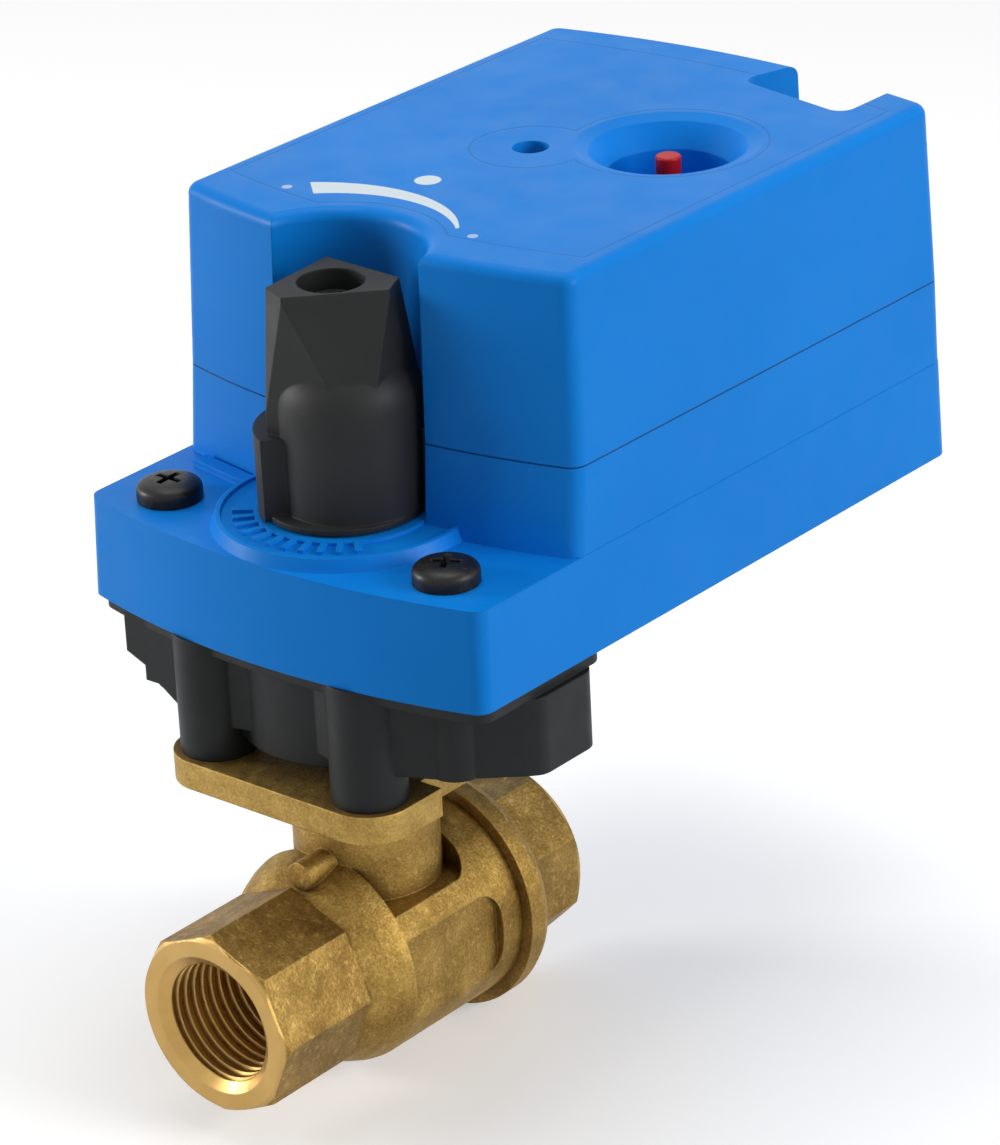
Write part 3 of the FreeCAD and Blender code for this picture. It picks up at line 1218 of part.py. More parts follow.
def clutch_gear():
    """Compound gear that the red button pushes down, out of the first gear's teeth."""
    x, y = CLUTCH_X, CLUTCH_Y
    low = CLUTCH_GEAR_BOTTOM
    top = CLUTCH_GEAR_TOP
    pinion_turn = meshing_turn(PINION_TEETH, FIRST_TO_CLUTCH + 180)
    pinion = gear(PINION_TEETH, low, low + CLUTCH_PINION_THICKNESS, x, y, pinion_turn)
    neck = cylinder(PINION_RADIUS - MODULE * ROOT_DEPTH - FREE_GAP, low, top, x, y)
    wheel = gear(CLUTCH_WHEEL_TEETH, CLUTCH_WHEEL_BOTTOM, top, x, y, MOTOR_DIRECTION)
    bore = cylinder(CLUTCH_BUSH_RADIUS + RUNNING_GAP, low - PAST, top + PAST, x, y)
    return joined([pinion, neck, wheel]).cut(bore)


def clutch_bush():
    """Bush that slides on the clutch shaft and carries the clutch gear on its flange."""
    x, y = CLUTCH_X, CLUTCH_Y
    inner = SHAFT_RADIUS + SLIDING_GAP
    flange_top = CLUTCH_BUSH_BOTTOM + CLUTCH_BUSH_FLANGE_THICKNESS
    sleeve = tube(CLUTCH_BUSH_RADIUS, inner, CLUTCH_BUSH_BOTTOM, CLUTCH_GEAR_TOP + FREE_GAP, x, y)
    flange = tube(CLUTCH_BUSH_FLANGE_RADIUS, inner, CLUTCH_BUSH_BOTTOM, flange_top, x, y)
    return sleeve.fuse(flange).removeSplitter()


def clutch_shaft():
    """Fixed steel shaft that the clutch bush slides on."""
    top = BUTTON_SLEEVE_TOP - CLUTCH_TRAVEL - 2 * PAST
    return cylinder(SHAFT_RADIUS, FLOOR_TOP - SHAFT_FOOT_DEPTH, top, CLUTCH_X, CLUTCH_Y)


def first_shaft():
    """Fixed steel shaft of the first gear."""
    return cylinder(SHAFT_RADIUS, FLOOR_TOP - SHAFT_FOOT_DEPTH, GEAR_PLATE_TOP, FIRST_X, FIRST_Y)


def clutch_spring():
    """Coil spring that lifts the clutch bush and the button again."""
    low = FLOOR_TOP + SHAFT_BOSS_HEIGHT + SPRING_WIRE / 2
    high = CLUTCH_BUSH_BOTTOM - SPRING_WIRE / 2
    steps = SPRING_TURNS * 4

    def on_coil(part):
        angle = 2 * math.pi * SPRING_TURNS * part
        x = CLUTCH_X + SPRING_COIL_RADIUS * math.cos(angle)
        y = CLUTCH_Y + SPRING_COIL_RADIUS * math.sin(angle)
        return V(x, y, low + (high - low) * part)

    arcs = []
    for step in range(steps):
        start, middle, end = [on_coil((step + share) / steps) for share in (0, 0.5, 1)]
        arcs.append(Part.Arc(start, middle, end).toShape())
    wire_start = arcs[0].tangentAt(arcs[0].FirstParameter)
    section = Part.Wire(Part.makeCircle(SPRING_WIRE / 2, on_coil(0), wire_start))
    return Part.Wire(arcs).makePipeShell([section.reversed()], True, False)


# Motor, plate, board and controls

def gear_plate():
    """Steel plate over the gears that carries the motor."""
    half = GEAR_PLATE_HALF_WIDTH
    plate = block(-half, half, GEAR_PLATE_FRONT, GEAR_PLATE_REAR, GEAR_PLATE_BOTTOM, GEAR_PLATE_TOP)
    plate = round_uprights(plate, GEAR_PLATE_CORNER)
    holes = [
        (SHAFT_RADIUS + SEATED_GAP, FIRST_X, FIRST_Y), (MOTOR_HUB_RADIUS + SEATED_GAP, MOTOR_X, MOTOR_Y),
        (BUTTON_SLEEVE_RADIUS + SLIDING_GAP, CLUTCH_X, CLUTCH_Y)]
    places = four_corners(PILLAR_X, PILLAR_FRONT_Y, PILLAR_REAR_Y) + motor_ear_places()
    places += four_corners(BOARD_PILLAR_X, BOARD_PILLAR_FRONT_Y, BOARD_PILLAR_REAR_Y)
    holes += [(SMALL_SCREW_RADIUS + SEATED_GAP, x, y) for x, y in places]
    for radius, x, y in holes:
        plate = plate.cut(cylinder(radius, GEAR_PLATE_BOTTOM - PAST, GEAR_PLATE_TOP + PAST, x, y))
    return plate


def pillar(radius, low, high, x, y):
    """Round pillar with a hole for a small screw in its top."""
    hole = cylinder(SMALL_SCREW_RADIUS + SEATED_GAP, high - SMALL_SCREW_LENGTH, high + PAST, x, y)
    return cylinder(radius, low, high, x, y).cut(hole)


def plate_pillars():
    """Four pillars that hold the gear plate above the floor."""
    places = four_corners(PILLAR_X, PILLAR_FRONT_Y, PILLAR_REAR_Y)
    low = FLOOR_TOP + PILLAR_FOOT_HEIGHT
    return group(pillar(PILLAR_RADIUS, low, GEAR_PLATE_BOTTOM, x, y) for x, y in places)


def small_screws(places, seat_level):
    """A set of equal small screws with their heads on one level."""
    return group(
        pan_screw(x, y, seat_level, SMALL_SCREW_HEAD_RADIUS, SMALL_SCREW_HEAD_HEIGHT, SMALL_SCREW_RADIUS,
                  seat_level - SMALL_SCREW_LENGTH, cross=False)
        for x, y in places)


def motor_ear_places():
    """Where the motor's two ears are screwed to the plate."""
    places = []
    for direction in MOTOR_EAR_DIRECTIONS:
        angle = math.radians(direction)
        x = MOTOR_X + MOTOR_EAR_REACH * math.cos(angle)
        y = MOTOR_Y + MOTOR_EAR_REACH * math.sin(angle)
        places.append((x, y))
    return places


def motor_ear(direction):
    """Ear of the motor's can that points in a direction, with its screw hole."""
    web = block(0, MOTOR_EAR_REACH, -MOTOR_EAR_RADIUS, MOTOR_EAR_RADIUS, 0, MOTOR_EAR_THICKNESS)
    ear = joined([web, cylinder(MOTOR_EAR_RADIUS, 0, MOTOR_EAR_THICKNESS, MOTOR_EAR_REACH)])
    hole = cylinder(SMALL_SCREW_RADIUS + SEATED_GAP, -PAST, MOTOR_EAR_THICKNESS + PAST, MOTOR_EAR_REACH)
    ear = ear.cut(hole)
    ear.rotate(V(0, 0, 0), V(0, 0, 1), direction)
    ear.translate(V(MOTOR_X, MOTOR_Y, GEAR_PLATE_TOP))
    return ear


def motor():
    """Synchronous motor in a flat round can with two ears."""
    can = cylinder(MOTOR_RADIUS, GEAR_PLATE_TOP, GEAR_PLATE_TOP + MOTOR_HEIGHT, MOTOR_X, MOTOR_Y)
    rim = [edge for edge in can.Edges if edge.BoundBox.ZMin > GEAR_PLATE_TOP + PAST]
    can = can.makeFillet(MOTOR_ROUND, rim)
    spigot = cylinder(MOTOR_HUB_RADIUS, GEAR_PLATE_BOTTOM, GEAR_PLATE_TOP + PAST, MOTOR_X, MOTOR_Y)
    solid = joined([can, spigot] + [motor_ear(direction) for direction in MOTOR_EAR_DIRECTIONS])
    shaft_end = GEAR_PLATE_TOP + MOTOR_SHAFT_DEPTH + PAST
    return solid.cut(cylinder(MOTOR_SHAFT_RADIUS + RUNNING_GAP, GEAR_PLATE_BOTTOM - PAST, shaft_end,
                              MOTOR_X, MOTOR_Y))


def motor_pinion():
    """Pinion on the motor's shaft, long enough for the clutch gear's travel."""
    low = CLUTCH_WHEEL_BOTTOM - CLUTCH_TRAVEL - FREE_GAP
    turn = meshing_turn(PINION_TEETH, MOTOR_DIRECTION + 180)
    pinion = gear(PINION_TEETH, low, GEAR_PLATE_BOTTOM - FREE_GAP, MOTOR_X, MOTOR_Y, turn)
    shaft = cylinder(MOTOR_SHAFT_RADIUS, low, GEAR_PLATE_TOP + MOTOR_SHAFT_DEPTH, MOTOR_X, MOTOR_Y)
    return pinion.fuse(shaft).removeSplitter()


def circuit_board():
    """Control board over the motor."""
    board = block(-BOARD_HALF_WIDTH, BOARD_HALF_WIDTH, BOARD_FRONT, BOARD_REAR, BOARD_BOTTOM, BOARD_TOP)
    holes = [(BUTTON_SLEEVE_RADIUS + BOARD_CLEARANCE, CLUTCH_X, CLUTCH_Y)]
    for side in (-1, 1):
        holes.append((COVER_TUBE_RADIUS + BOARD_CLEARANCE, side * COVER_SCREW_X, COVER_SCREW_REAR_Y))
    for x, y in four_corners(BOARD_PILLAR_X, BOARD_PILLAR_FRONT_Y, BOARD_PILLAR_REAR_Y):
        holes.append((SMALL_SCREW_RADIUS + SEATED_GAP, x, y))
    for radius, x, y in holes:
        board = board.cut(cylinder(radius, BOARD_BOTTOM - PAST, BOARD_TOP + PAST, x, y))
    return board


def board_pillars():
    """Four pillars that hold the board above the gear plate."""
    places = four_corners(BOARD_PILLAR_X, BOARD_PILLAR_FRONT_Y, BOARD_PILLAR_REAR_Y)
    return group(pillar(BOARD_PILLAR_RADIUS, GEAR_PLATE_TOP, BOARD_BOTTOM, x, y) for x, y in places)


def terminal_places():
    """Where the terminal screws stand along the block."""
    first = TERMINAL_X - TERMINAL_PITCH * (TERMINAL_COUNT - 1) / 2
    return [(first + TERMINAL_PITCH * index, TERMINAL_Y) for index in range(TERMINAL_COUNT)]


def terminal_block():
    """Terminal block that the notch leaves open, with a wire mouth for each screw."""
    half_length = TERMINAL_LENGTH / 2
    half_mouth = WIRE_MOUTH_WIDTH / 2
    front = TERMINAL_Y - TERMINAL_DEPTH / 2
    rear = TERMINAL_Y + TERMINAL_DEPTH / 2
    top = BOARD_TOP + TERMINAL_HEIGHT
    solid = block(TERMINAL_X - half_length, TERMINAL_X + half_length, front, rear, BOARD_TOP, top)
    for x, y in terminal_places():
        well = cylinder(TERMINAL_WELL_RADIUS, BOARD_TOP + TERMINAL_WELL_LEVEL, top + PAST, x, y)
        mouth = block(x - half_mouth, x + half_mouth, y, rear + PAST, BOARD_TOP + WIRE_MOUTH_BOTTOM,
                      BOARD_TOP + WIRE_MOUTH_TOP)
        solid = solid.cut(well).cut(mouth)
    return solid


def terminal_screws():
    """Clamping screws of the terminal block."""
    floor = BOARD_TOP + TERMINAL_WELL_LEVEL
    top = floor + TERMINAL_SCREW_HEIGHT
    return group(cylinder(TERMINAL_SCREW_RADIUS, floor, top, x, y) for x, y in terminal_places())


def selector_body():
    """Socket of the selector on the board."""
    x, y = SELECTOR_X, SELECTOR_Y
    half = SELECTOR_BODY / 2
    solid = block(x - half, x + half, y - half, y + half, BOARD_TOP, BOARD_TOP + SELECTOR_BODY_HEIGHT)
    well = cylinder(SELECTOR_DIAL_RADIUS + RUNNING_GAP, BOARD_TOP + SELECTOR_DIAL_FOOT, HOUSING_TOP, x, y)
    return solid.cut(well)


def selector_dial():
    """Slotted dial under the small hole in the cover."""
    x, y = SELECTOR_X, SELECTOR_Y
    radius = SELECTOR_DIAL_RADIUS
    half = SELECTOR_SLOT_WIDTH / 2
    top = SELECTOR_DIAL_TOP
    dial = cylinder(radius, BOARD_TOP + SELECTOR_DIAL_FOOT + SEATED_GAP, top, x, y)
    floor = top - SELECTOR_SLOT_DEPTH
    return dial.cut(block(x - half, x + half, y - radius - PAST, y + radius + PAST, floor, top + PAST))


def release_button():
    """Red button with the sleeve that pushes the clutch bush down."""
    x, y = DISH_X, DISH_Y
    cap = cylinder(BUTTON_RADIUS, BUTTON_SLEEVE_TOP - PAST, BUTTON_TOP, x, y)
    rim = [edge for edge in cap.Edges if edge.BoundBox.ZMin > BUTTON_TOP - BUTTON_ROUND]
    cap = cap.makeFillet(BUTTON_ROUND, rim)
    flange_top = DISH_FLOOR - DISH_WALL - FREE_GAP
    flange = cylinder(BUTTON_FLANGE_RADIUS, flange_top - BUTTON_FLANGE_THICKNESS, flange_top, x, y)
    sleeve = cylinder(BUTTON_SLEEVE_RADIUS, CLUTCH_GEAR_TOP + 2 * FREE_GAP, BUTTON_SLEEVE_TOP, x, y)
    room = cylinder(SHAFT_RADIUS + SLIDING_GAP, CLUTCH_GEAR_TOP, BUTTON_SLEEVE_TOP - PAST, x, y)
    return joined([cap, flange, sleeve.cut(room)])


def capacitors():
    """Two round capacitors on the board."""
    top = BOARD_TOP + CAPACITOR_HEIGHT
    return group(cylinder(CAPACITOR_RADIUS, BOARD_TOP, top, CAPACITOR_X, y) for y in CAPACITOR_Y)


def relay():
    """Relay on the board."""
    half = RELAY_WIDTH / 2
    rear = RELAY_FRONT + RELAY_DEPTH
    solid = block(RELAY_X - half, RELAY_X + half, RELAY_FRONT, rear, BOARD_TOP, BOARD_TOP + RELAY_HEIGHT)
    return round_uprights(solid, RELAY_CORNER)


# Every sub-part under the name of its file
NODES = {
    "valve_body": valve_body,
    "end_connector": end_connector,
    "body_seal": body_seal,
    "ball": ball,
    "inlet_seat": lambda: seat(-1),
    "outlet_seat": lambda: seat(1),
    "stem": stem,
    "thrust_washer": thrust_washer,
    "stem_rings": stem_rings,
    "mounting_bracket": mounting_bracket,
    "bracket_screws": bracket_screws,
    "housing_base": housing_base,
    "housing_cover": housing_cover,
    "cover_screws": cover_screws,
    "flange_screws": flange_screws,
    "drive_coupler": drive_coupler,
    "output_hub": output_hub,
    "lower_bush": lower_bush,
    "upper_bush": upper_bush,
    "handle": handle,
    "handle_screw": handle_screw,
    "output_gear": output_gear,
    "first_gear": first_gear,
    "first_shaft": first_shaft,
    "clutch_gear": clutch_gear,
    "clutch_bush": clutch_bush,
    "clutch_shaft": clutch_shaft,
    "clutch_spring": clutch_spring,
    "gear_plate": gear_plate,
    "plate_pillars": plate_pillars,
    "plate_screws": lambda: small_screws(four_corners(PILLAR_X, PILLAR_FRONT_Y, PILLAR_REAR_Y),
                                         GEAR_PLATE_TOP),
    "motor": motor,
    "motor_screws": lambda: small_screws(motor_ear_places(), GEAR_PLATE_TOP + MOTOR_EAR_THICKNESS),
    "motor_pinion": motor_pinion,
    "circuit_board": circuit_board,
    "board_pillars": board_pillars,
    "board_screws": lambda: small_screws(
        four_corners(BOARD_PILLAR_X, BOARD_PILLAR_FRONT_Y, BOARD_PILLAR_REAR_Y), BOARD_TOP),
    "terminal_block": terminal_block,
    "terminal_screws": terminal_screws,
    "selector_body": selector_body,
    "selector_dial": selector_dial,
    "release_button": release_button,
    "capacitors": capacitors,
    "relay": relay,
}

os.makedirs("parts", exist_ok=True)
for name, build in NODES.items():
    shape = build()
    shape.exportStep("parts/" + name + ".step")
    print(name, len(shape.Solids), "solids", round(shape.Volume, 1), "mm3",
          "valid" if shape.isValid() else "INVALID")
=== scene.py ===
# %% [markdown]
# A motorized ball valve, dressed for its portrait
#
# The object is a brass ball valve for half inch pipe with a blue electric drive on top. The solids come
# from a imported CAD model, and this lesson gives them their finishes and adds the small pieces that CAD
# leaves plain. Every length is in metres, so a millimetre is written as 1 * MM.

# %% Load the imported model
import bmesh
import bpy
import json
import math
from mathutils import Matrix, Vector

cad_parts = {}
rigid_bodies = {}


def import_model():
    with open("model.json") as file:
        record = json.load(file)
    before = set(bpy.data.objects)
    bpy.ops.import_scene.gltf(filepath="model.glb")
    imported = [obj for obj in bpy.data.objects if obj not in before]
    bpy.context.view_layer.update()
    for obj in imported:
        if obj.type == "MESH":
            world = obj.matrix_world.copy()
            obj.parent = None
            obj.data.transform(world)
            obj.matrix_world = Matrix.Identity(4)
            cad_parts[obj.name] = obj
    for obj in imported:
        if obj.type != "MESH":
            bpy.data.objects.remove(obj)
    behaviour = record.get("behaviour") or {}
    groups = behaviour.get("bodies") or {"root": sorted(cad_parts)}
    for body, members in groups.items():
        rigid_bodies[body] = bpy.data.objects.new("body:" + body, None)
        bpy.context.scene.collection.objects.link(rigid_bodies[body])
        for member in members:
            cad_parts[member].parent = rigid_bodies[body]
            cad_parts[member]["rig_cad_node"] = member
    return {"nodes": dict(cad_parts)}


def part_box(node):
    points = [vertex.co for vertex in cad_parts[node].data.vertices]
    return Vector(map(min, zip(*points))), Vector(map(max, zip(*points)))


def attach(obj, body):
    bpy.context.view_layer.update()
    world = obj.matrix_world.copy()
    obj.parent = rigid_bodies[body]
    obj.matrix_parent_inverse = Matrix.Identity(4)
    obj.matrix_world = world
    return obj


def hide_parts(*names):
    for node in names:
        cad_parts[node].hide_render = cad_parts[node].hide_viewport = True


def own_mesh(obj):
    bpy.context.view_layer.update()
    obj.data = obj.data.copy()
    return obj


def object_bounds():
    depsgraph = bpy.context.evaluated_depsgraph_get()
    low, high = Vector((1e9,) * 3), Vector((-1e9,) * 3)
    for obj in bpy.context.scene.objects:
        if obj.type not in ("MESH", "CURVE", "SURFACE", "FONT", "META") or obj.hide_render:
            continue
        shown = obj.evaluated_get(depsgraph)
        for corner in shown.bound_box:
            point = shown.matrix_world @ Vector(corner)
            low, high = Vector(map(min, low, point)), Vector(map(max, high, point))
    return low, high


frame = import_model()
cad_low, cad_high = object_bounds()
MM = 0.001
print("CAD nodes:", len(frame["nodes"]))

# %% [markdown]
# The camera stands where the photographer stood: to the right of the inlet port, a little above the drive.
# Its place was worked out once by matching straight edges of the housing, and it is written here as an
# azimuth, an elevation, a small roll and a distance. The lens follows from the picture's long side, because
# a Blender sensor of 36 mm spans that side.

# %% Camera
PICTURE_WIDTH = 1000
PICTURE_HEIGHT = 1145
FOCAL_PIXELS = 4844.6
SENSOR = 36.0
AZIMUTH = math.radians(40.717)
ELEVATION = math.radians(24.347)
ROLL = math.radians(-2.925)
DISTANCE = 734.03 * MM
AIM_RIGHT = -19.23 * MM
AIM_UP = -53.91 * MM
NEAREST = 0.01
FARTHEST = 10

back = Vector((math.sin(AZIMUTH) * math.cos(ELEVATION), -math.cos(AZIMUTH) * math.cos(ELEVATION),
               math.sin(ELEVATION)))
level_right = Vector((math.cos(AZIMUTH), math.sin(AZIMUTH), 0))
level_up = back.cross(level_right)
right = level_right * math.cos(ROLL) + level_up * math.sin(ROLL)
up = level_up * math.cos(ROLL) - level_right * math.sin(ROLL)

camera_data = bpy.data.cameras.new("camera")
camera_data.sensor_fit = "AUTO"
camera_data.sensor_width = SENSOR
camera_data.lens = SENSOR * FOCAL_PIXELS / max(PICTURE_WIDTH, PICTURE_HEIGHT)
camera_data.clip_start = NEAREST
camera_data.clip_end = FARTHEST
camera = bpy.data.objects.new("camera", camera_data)
camera.location = back * DISTANCE - right * AIM_RIGHT - up * AIM_UP
camera.rotation_mode = "QUATERNION"
camera.rotation_quaternion = Matrix((right, up, back)).transposed().to_quaternion()
bpy.context.scene.collection.objects.link(camera)
bpy.context.scene.camera = camera
print("camera lens", round(camera_data.lens, 1), "mm")

# %% [markdown]
# The photograph has a pure white ground. Stronger lamps would whiten it, but they would bleach the object.
# So the camera, mirrors and clear things see floor and sky as white, while the object is lit by plainer
# ones. A Light Path node tells for each ray what kind it is, and the largest of three of its outputs is one
# for the rays that see the ground directly.

# %% Rays that see the ground


def seen_directly(nodes, links):
    """One for rays from the camera, from mirrors and through clear things, else zero."""
    path = nodes.new("ShaderNodeLightPath")
    first = nodes.new("ShaderNodeMath")
    first.operation = "MAXIMUM"
    links.new(path.outputs["Is Camera Ray"], first.inputs[0])
    links.new(path.outputs["Is Glossy Ray"], first.inputs[1])
    second = nodes.new("ShaderNodeMath")
    second.operation = "MAXIMUM"
    links.new(first.outputs[0], second.inputs[0])
    links.new(path.outputs["Is Transmission Ray"], second.inputs[1])
    return second.outputs[0]


print("ray helper ready")

# %% [markdown]
# The floor is one pale sheet under the object. Its material mixes plain paint, which lights the object from
# below, with a paler paint that glows a little and is only seen. The sheet is paint for the larger part, so
# it keeps the object's shadow.

# %% Floor
FLOOR_SIZE = 6.0
FLOOR_GAP = 0.2 * MM
FLOOR_PAINT = 0.5
FLOOR_SEEN_PAINT = 0.9
FLOOR_SEEN_GLOW = 0.3


def grey(level):
    """A neutral colour of one level."""
    return (level, level, level, 1)


def pale_floor():
    """Paint that lights the object a little and is seen as white with shadows."""
    material = bpy.data.materials.new("pale floor")
    material.use_nodes = True
    nodes = material.node_tree.nodes
    links = material.node_tree.links
    nodes.clear()
    out = nodes.new("ShaderNodeOutputMaterial")
    plain = nodes.new("ShaderNodeBsdfDiffuse")
    plain.inputs["Color"].default_value = grey(FLOOR_PAINT)
    pale = nodes.new("ShaderNodeBsdfDiffuse")
    pale.inputs["Color"].default_value = grey(FLOOR_SEEN_PAINT)
    glow = nodes.new("ShaderNodeEmission")
    glow.inputs["Strength"].default_value = FLOOR_SEEN_GLOW
    seen = nodes.new("ShaderNodeAddShader")
    links.new(pale.outputs[0], seen.inputs[0])
    links.new(glow.outputs[0], seen.inputs[1])
    mix = nodes.new("ShaderNodeMixShader")
    links.new(seen_directly(nodes, links), mix.inputs["Fac"])
    links.new(plain.outputs[0], mix.inputs[1])
    links.new(seen.outputs[0], mix.inputs[2])
    links.new(mix.outputs[0], out.inputs["Surface"])
    return material


bpy.ops.object.select_all(action="DESELECT")
bpy.ops.mesh.primitive_plane_add(size=FLOOR_SIZE, location=(0, 0, cad_low.z - FLOOR_GAP))
floor = bpy.context.object
floor.name = "floor"
floor.data.materials.append(pale_floor())
print("floor at", round(floor.location.z, 4))

# %% [markdown]
# The sky is a plain colour in the world's Background node. Its strength is about a quarter for the light
# that falls on the object and one for rays that see it, by the same share as the floor's. Map Range turns
# that share of zero or one into the two strengths.

# %% Sky
SKY_LIGHT = 0.24
SKY_SEEN = 1.0

world = bpy.data.worlds.new("studio")
bpy.context.scene.world = world
world.use_nodes = True
world_nodes = world.node_tree.nodes
world_links = world.node_tree.links
sky = world_nodes["Background"]
sky.inputs["Color"].default_value = grey(1)
sky_level = world_nodes.new("ShaderNodeMapRange")
sky_level.inputs["To Min"].default_value = SKY_LIGHT
sky_level.inputs["To Max"].default_value = SKY_SEEN
world_links.new(seen_directly(world_nodes, world_links), sky_level.inputs["Value"])
world_links.new(sky_level.outputs["Result"], sky.inputs["Strength"])
bpy.context.scene.view_settings.view_transform = "Standard"
print("sky strengths", SKY_LIGHT, SKY_SEEN)

# %% [markdown]
# Three soft lamps light the object as in the photograph. The widest hangs over the cover. The second stands
# far to the left and a little in front, so that the handle's shade falls on the front beside the recess.
# The third lights the long right side. Area lamps are used, because their size sets how soft a shadow's
# edge is, and each one is turned by its own line of sight towards the middle of the object.

# %% Lamps
LAMPS = [
    ("top lamp", (-0.10, 0.15, 0.95), 0.60, 3.4),
    ("left lamp", (-0.88, -0.50, 0.28), 0.30, 6.4),
    ("right lamp", (0.95, 0.25, 0.42), 0.45, 6.2),
]
TARGET = Vector((0, 0.03, 0.06))

for lamp_name, place, size, power in LAMPS:
    lamp_data = bpy.data.lights.new(lamp_name, "AREA")
    lamp_data.shape = "SQUARE"
    lamp_data.size = size
    lamp_data.energy = power
    lamp = bpy.data.objects.new(lamp_name, lamp_data)
    lamp.location = place
    lamp.rotation_mode = "QUATERNION"
    lamp.rotation_quaternion = (TARGET - lamp.location).to_track_quat("-Z", "Y")
    bpy.context.scene.collection.objects.link(lamp)
print("lamps:", len(LAMPS))

# %% [markdown]
# A finish is a small tree of nodes. All of them begin the same way: the object's own coordinates feed some
# noise, the noise shifts the colour a little, and a finer noise gives the bump. Each tree could be wired by
# hand, but the helper below makes that start for all, and a finish then sets its own colours and sizes. A
# Bevel node rounds the look of sharp edges, as every moulded or machined edge is in fact a little round.

# %% Helper for finishes
EDGE_SAMPLES = 4


class Finish:
    """A material with one shader, and helpers that add nodes to it."""

    def __init__(self, name, roughness=0.5, metallic=0.0, edge=0.25):
        self.material = bpy.data.materials.new(name)
        self.material.use_nodes = True
        self.nodes = self.material.node_tree.nodes
        self.links = self.material.node_tree.links
        self.shader = self.nodes["Principled BSDF"]
        self.shader.inputs["Roughness"].default_value = roughness
        self.shader.inputs["Metallic"].default_value = metallic
        self.place = self.nodes.new("ShaderNodeTexCoord").outputs["Object"]
        self.normal = None
        if edge:
            bevel = self.nodes.new("ShaderNodeBevel")
            bevel.samples = EDGE_SAMPLES
            bevel.inputs["Radius"].default_value = edge * MM
            self.normal = bevel.outputs["Normal"]
            self.links.new(self.normal, self.shader.inputs["Normal"])

    def noise(self, size, detail=2.0, stretch=(1, 1, 1)):
        """Noise with blobs of about a size in millimetres."""
        mapping = self.nodes.new("ShaderNodeMapping")
        mapping.inputs["Scale"].default_value = stretch
        self.links.new(self.place, mapping.inputs["Vector"])
        noise = self.nodes.new("ShaderNodeTexNoise")
        noise.inputs["Scale"].default_value = 1 / (size * MM)
        noise.inputs["Detail"].default_value = detail
        self.links.new(mapping.outputs["Vector"], noise.inputs["Vector"])
        return noise.outputs["Fac"]

    def ramp(self, value, *stops):
        """Colours along a value, given as (position, colour) stops."""
        ramp = self.nodes.new("ShaderNodeValToRGB")
        while len(ramp.color_ramp.elements) < len(stops):
            ramp.color_ramp.elements.new(0.5)
        for element, (position, colour) in zip(ramp.color_ramp.elements, stops):
            element.position = position
            element.color = (*colour, 1)
        self.links.new(value, ramp.inputs["Fac"])
        return ramp.outputs["Color"]

    def spread(self, value, low, high, start=0.3, end=0.7):
        """Stretch a value to a range of numbers."""
        spread = self.nodes.new("ShaderNodeMapRange")
        spread.inputs["From Min"].default_value = start
        spread.inputs["From Max"].default_value = end
        spread.inputs["To Min"].default_value = low
        spread.inputs["To Max"].default_value = high
        self.links.new(value, spread.inputs["Value"])
        return spread.outputs["Result"]

    def bump(self, height, distance, strength=1.0):
        """Add a bump of a depth in millimetres on top of the ones before it."""
        bump = self.nodes.new("ShaderNodeBump")
        bump.inputs["Distance"].default_value = distance * MM
        bump.inputs["Strength"].default_value = strength
        self.links.new(height, bump.inputs["Height"])
        if self.normal is not None:
            self.links.new(self.normal, bump.inputs["Normal"])
        self.normal = bump.outputs["Normal"]
        self.links.new(self.normal, self.shader.inputs["Normal"])

    def set(self, socket, value):
        """Link a value to a socket of the shader."""
        self.links.new(value, self.shader.inputs[socket])


print("finish helper ready")

# %% [markdown]
# Moulded plastic has an even colour with a faint cloudiness, a satin skin from the mould's spark-eroded
# grain, and slightly glossier patches where hands have been. The grain is far finer than a mesh can hold, so
# it is a bump. One function makes all the plastics, because only their colours, their grain and their gloss
# differ.

# %% Plastics
CLOUD_STOPS = (0.35, 0.65)
GLOSS_PATCH = 6.0
LESS_ROUGH = 0.05
MORE_ROUGH = 0.07
GRAIN_STRENGTH = 0.6


def plastic_finish(name, dark, light, roughness, grain=0.25, grain_depth=0.01, edge=0.3, cloud=14.0,
                   gloss=0.4):
    """Plastic with a cloudy colour, a moulded grain and uneven gloss."""
    finish = Finish(name, edge=edge)
    finish.shader.inputs["Specular IOR Level"].default_value = gloss
    first, last = CLOUD_STOPS
    finish.set("Base Color", finish.ramp(finish.noise(cloud, 4), (first, dark), (last, light)))
    patches = finish.noise(GLOSS_PATCH, 3)
    finish.set("Roughness", finish.spread(patches, roughness - LESS_ROUGH, roughness + MORE_ROUGH))
    finish.bump(finish.noise(grain, 3), grain_depth, GRAIN_STRENGTH)
    return finish


def moulded_plastic(*values, **options):
    """Material of a plain moulded plastic."""
    return plastic_finish(*values, **options).material


BRACKET_BLACK = moulded_plastic("black bracket plastic", (0.005, 0.0065, 0.007), (0.008, 0.010, 0.011), 0.5,
                                grain=0.35, grain_depth=0.02, edge=0.5, gloss=0.25)
HANDLE_BLACK = moulded_plastic("black handle plastic", (0.010, 0.0108, 0.011), (0.016, 0.0162, 0.016), 0.56,
                               edge=0.4, gloss=0.3)
GEAR_WHITE = moulded_plastic("natural gear plastic", (0.66, 0.64, 0.55), (0.74, 0.72, 0.64), 0.4, edge=0.1)
BUSH_GREY = moulded_plastic("dark bush plastic", (0.03, 0.03, 0.032), (0.05, 0.05, 0.052), 0.35, edge=0.1)
PART_WHITE = moulded_plastic("white part plastic", (0.7, 0.7, 0.67), (0.8, 0.8, 0.78), 0.4, edge=0.15)
PART_GREEN = moulded_plastic("green terminal plastic", (0.015, 0.16, 0.05), (0.025, 0.21, 0.07), 0.35,
                             edge=0.2)
SEAT_WHITE = moulded_plastic("white seat plastic", (0.75, 0.75, 0.72), (0.84, 0.84, 0.82), 0.3, edge=0.1)
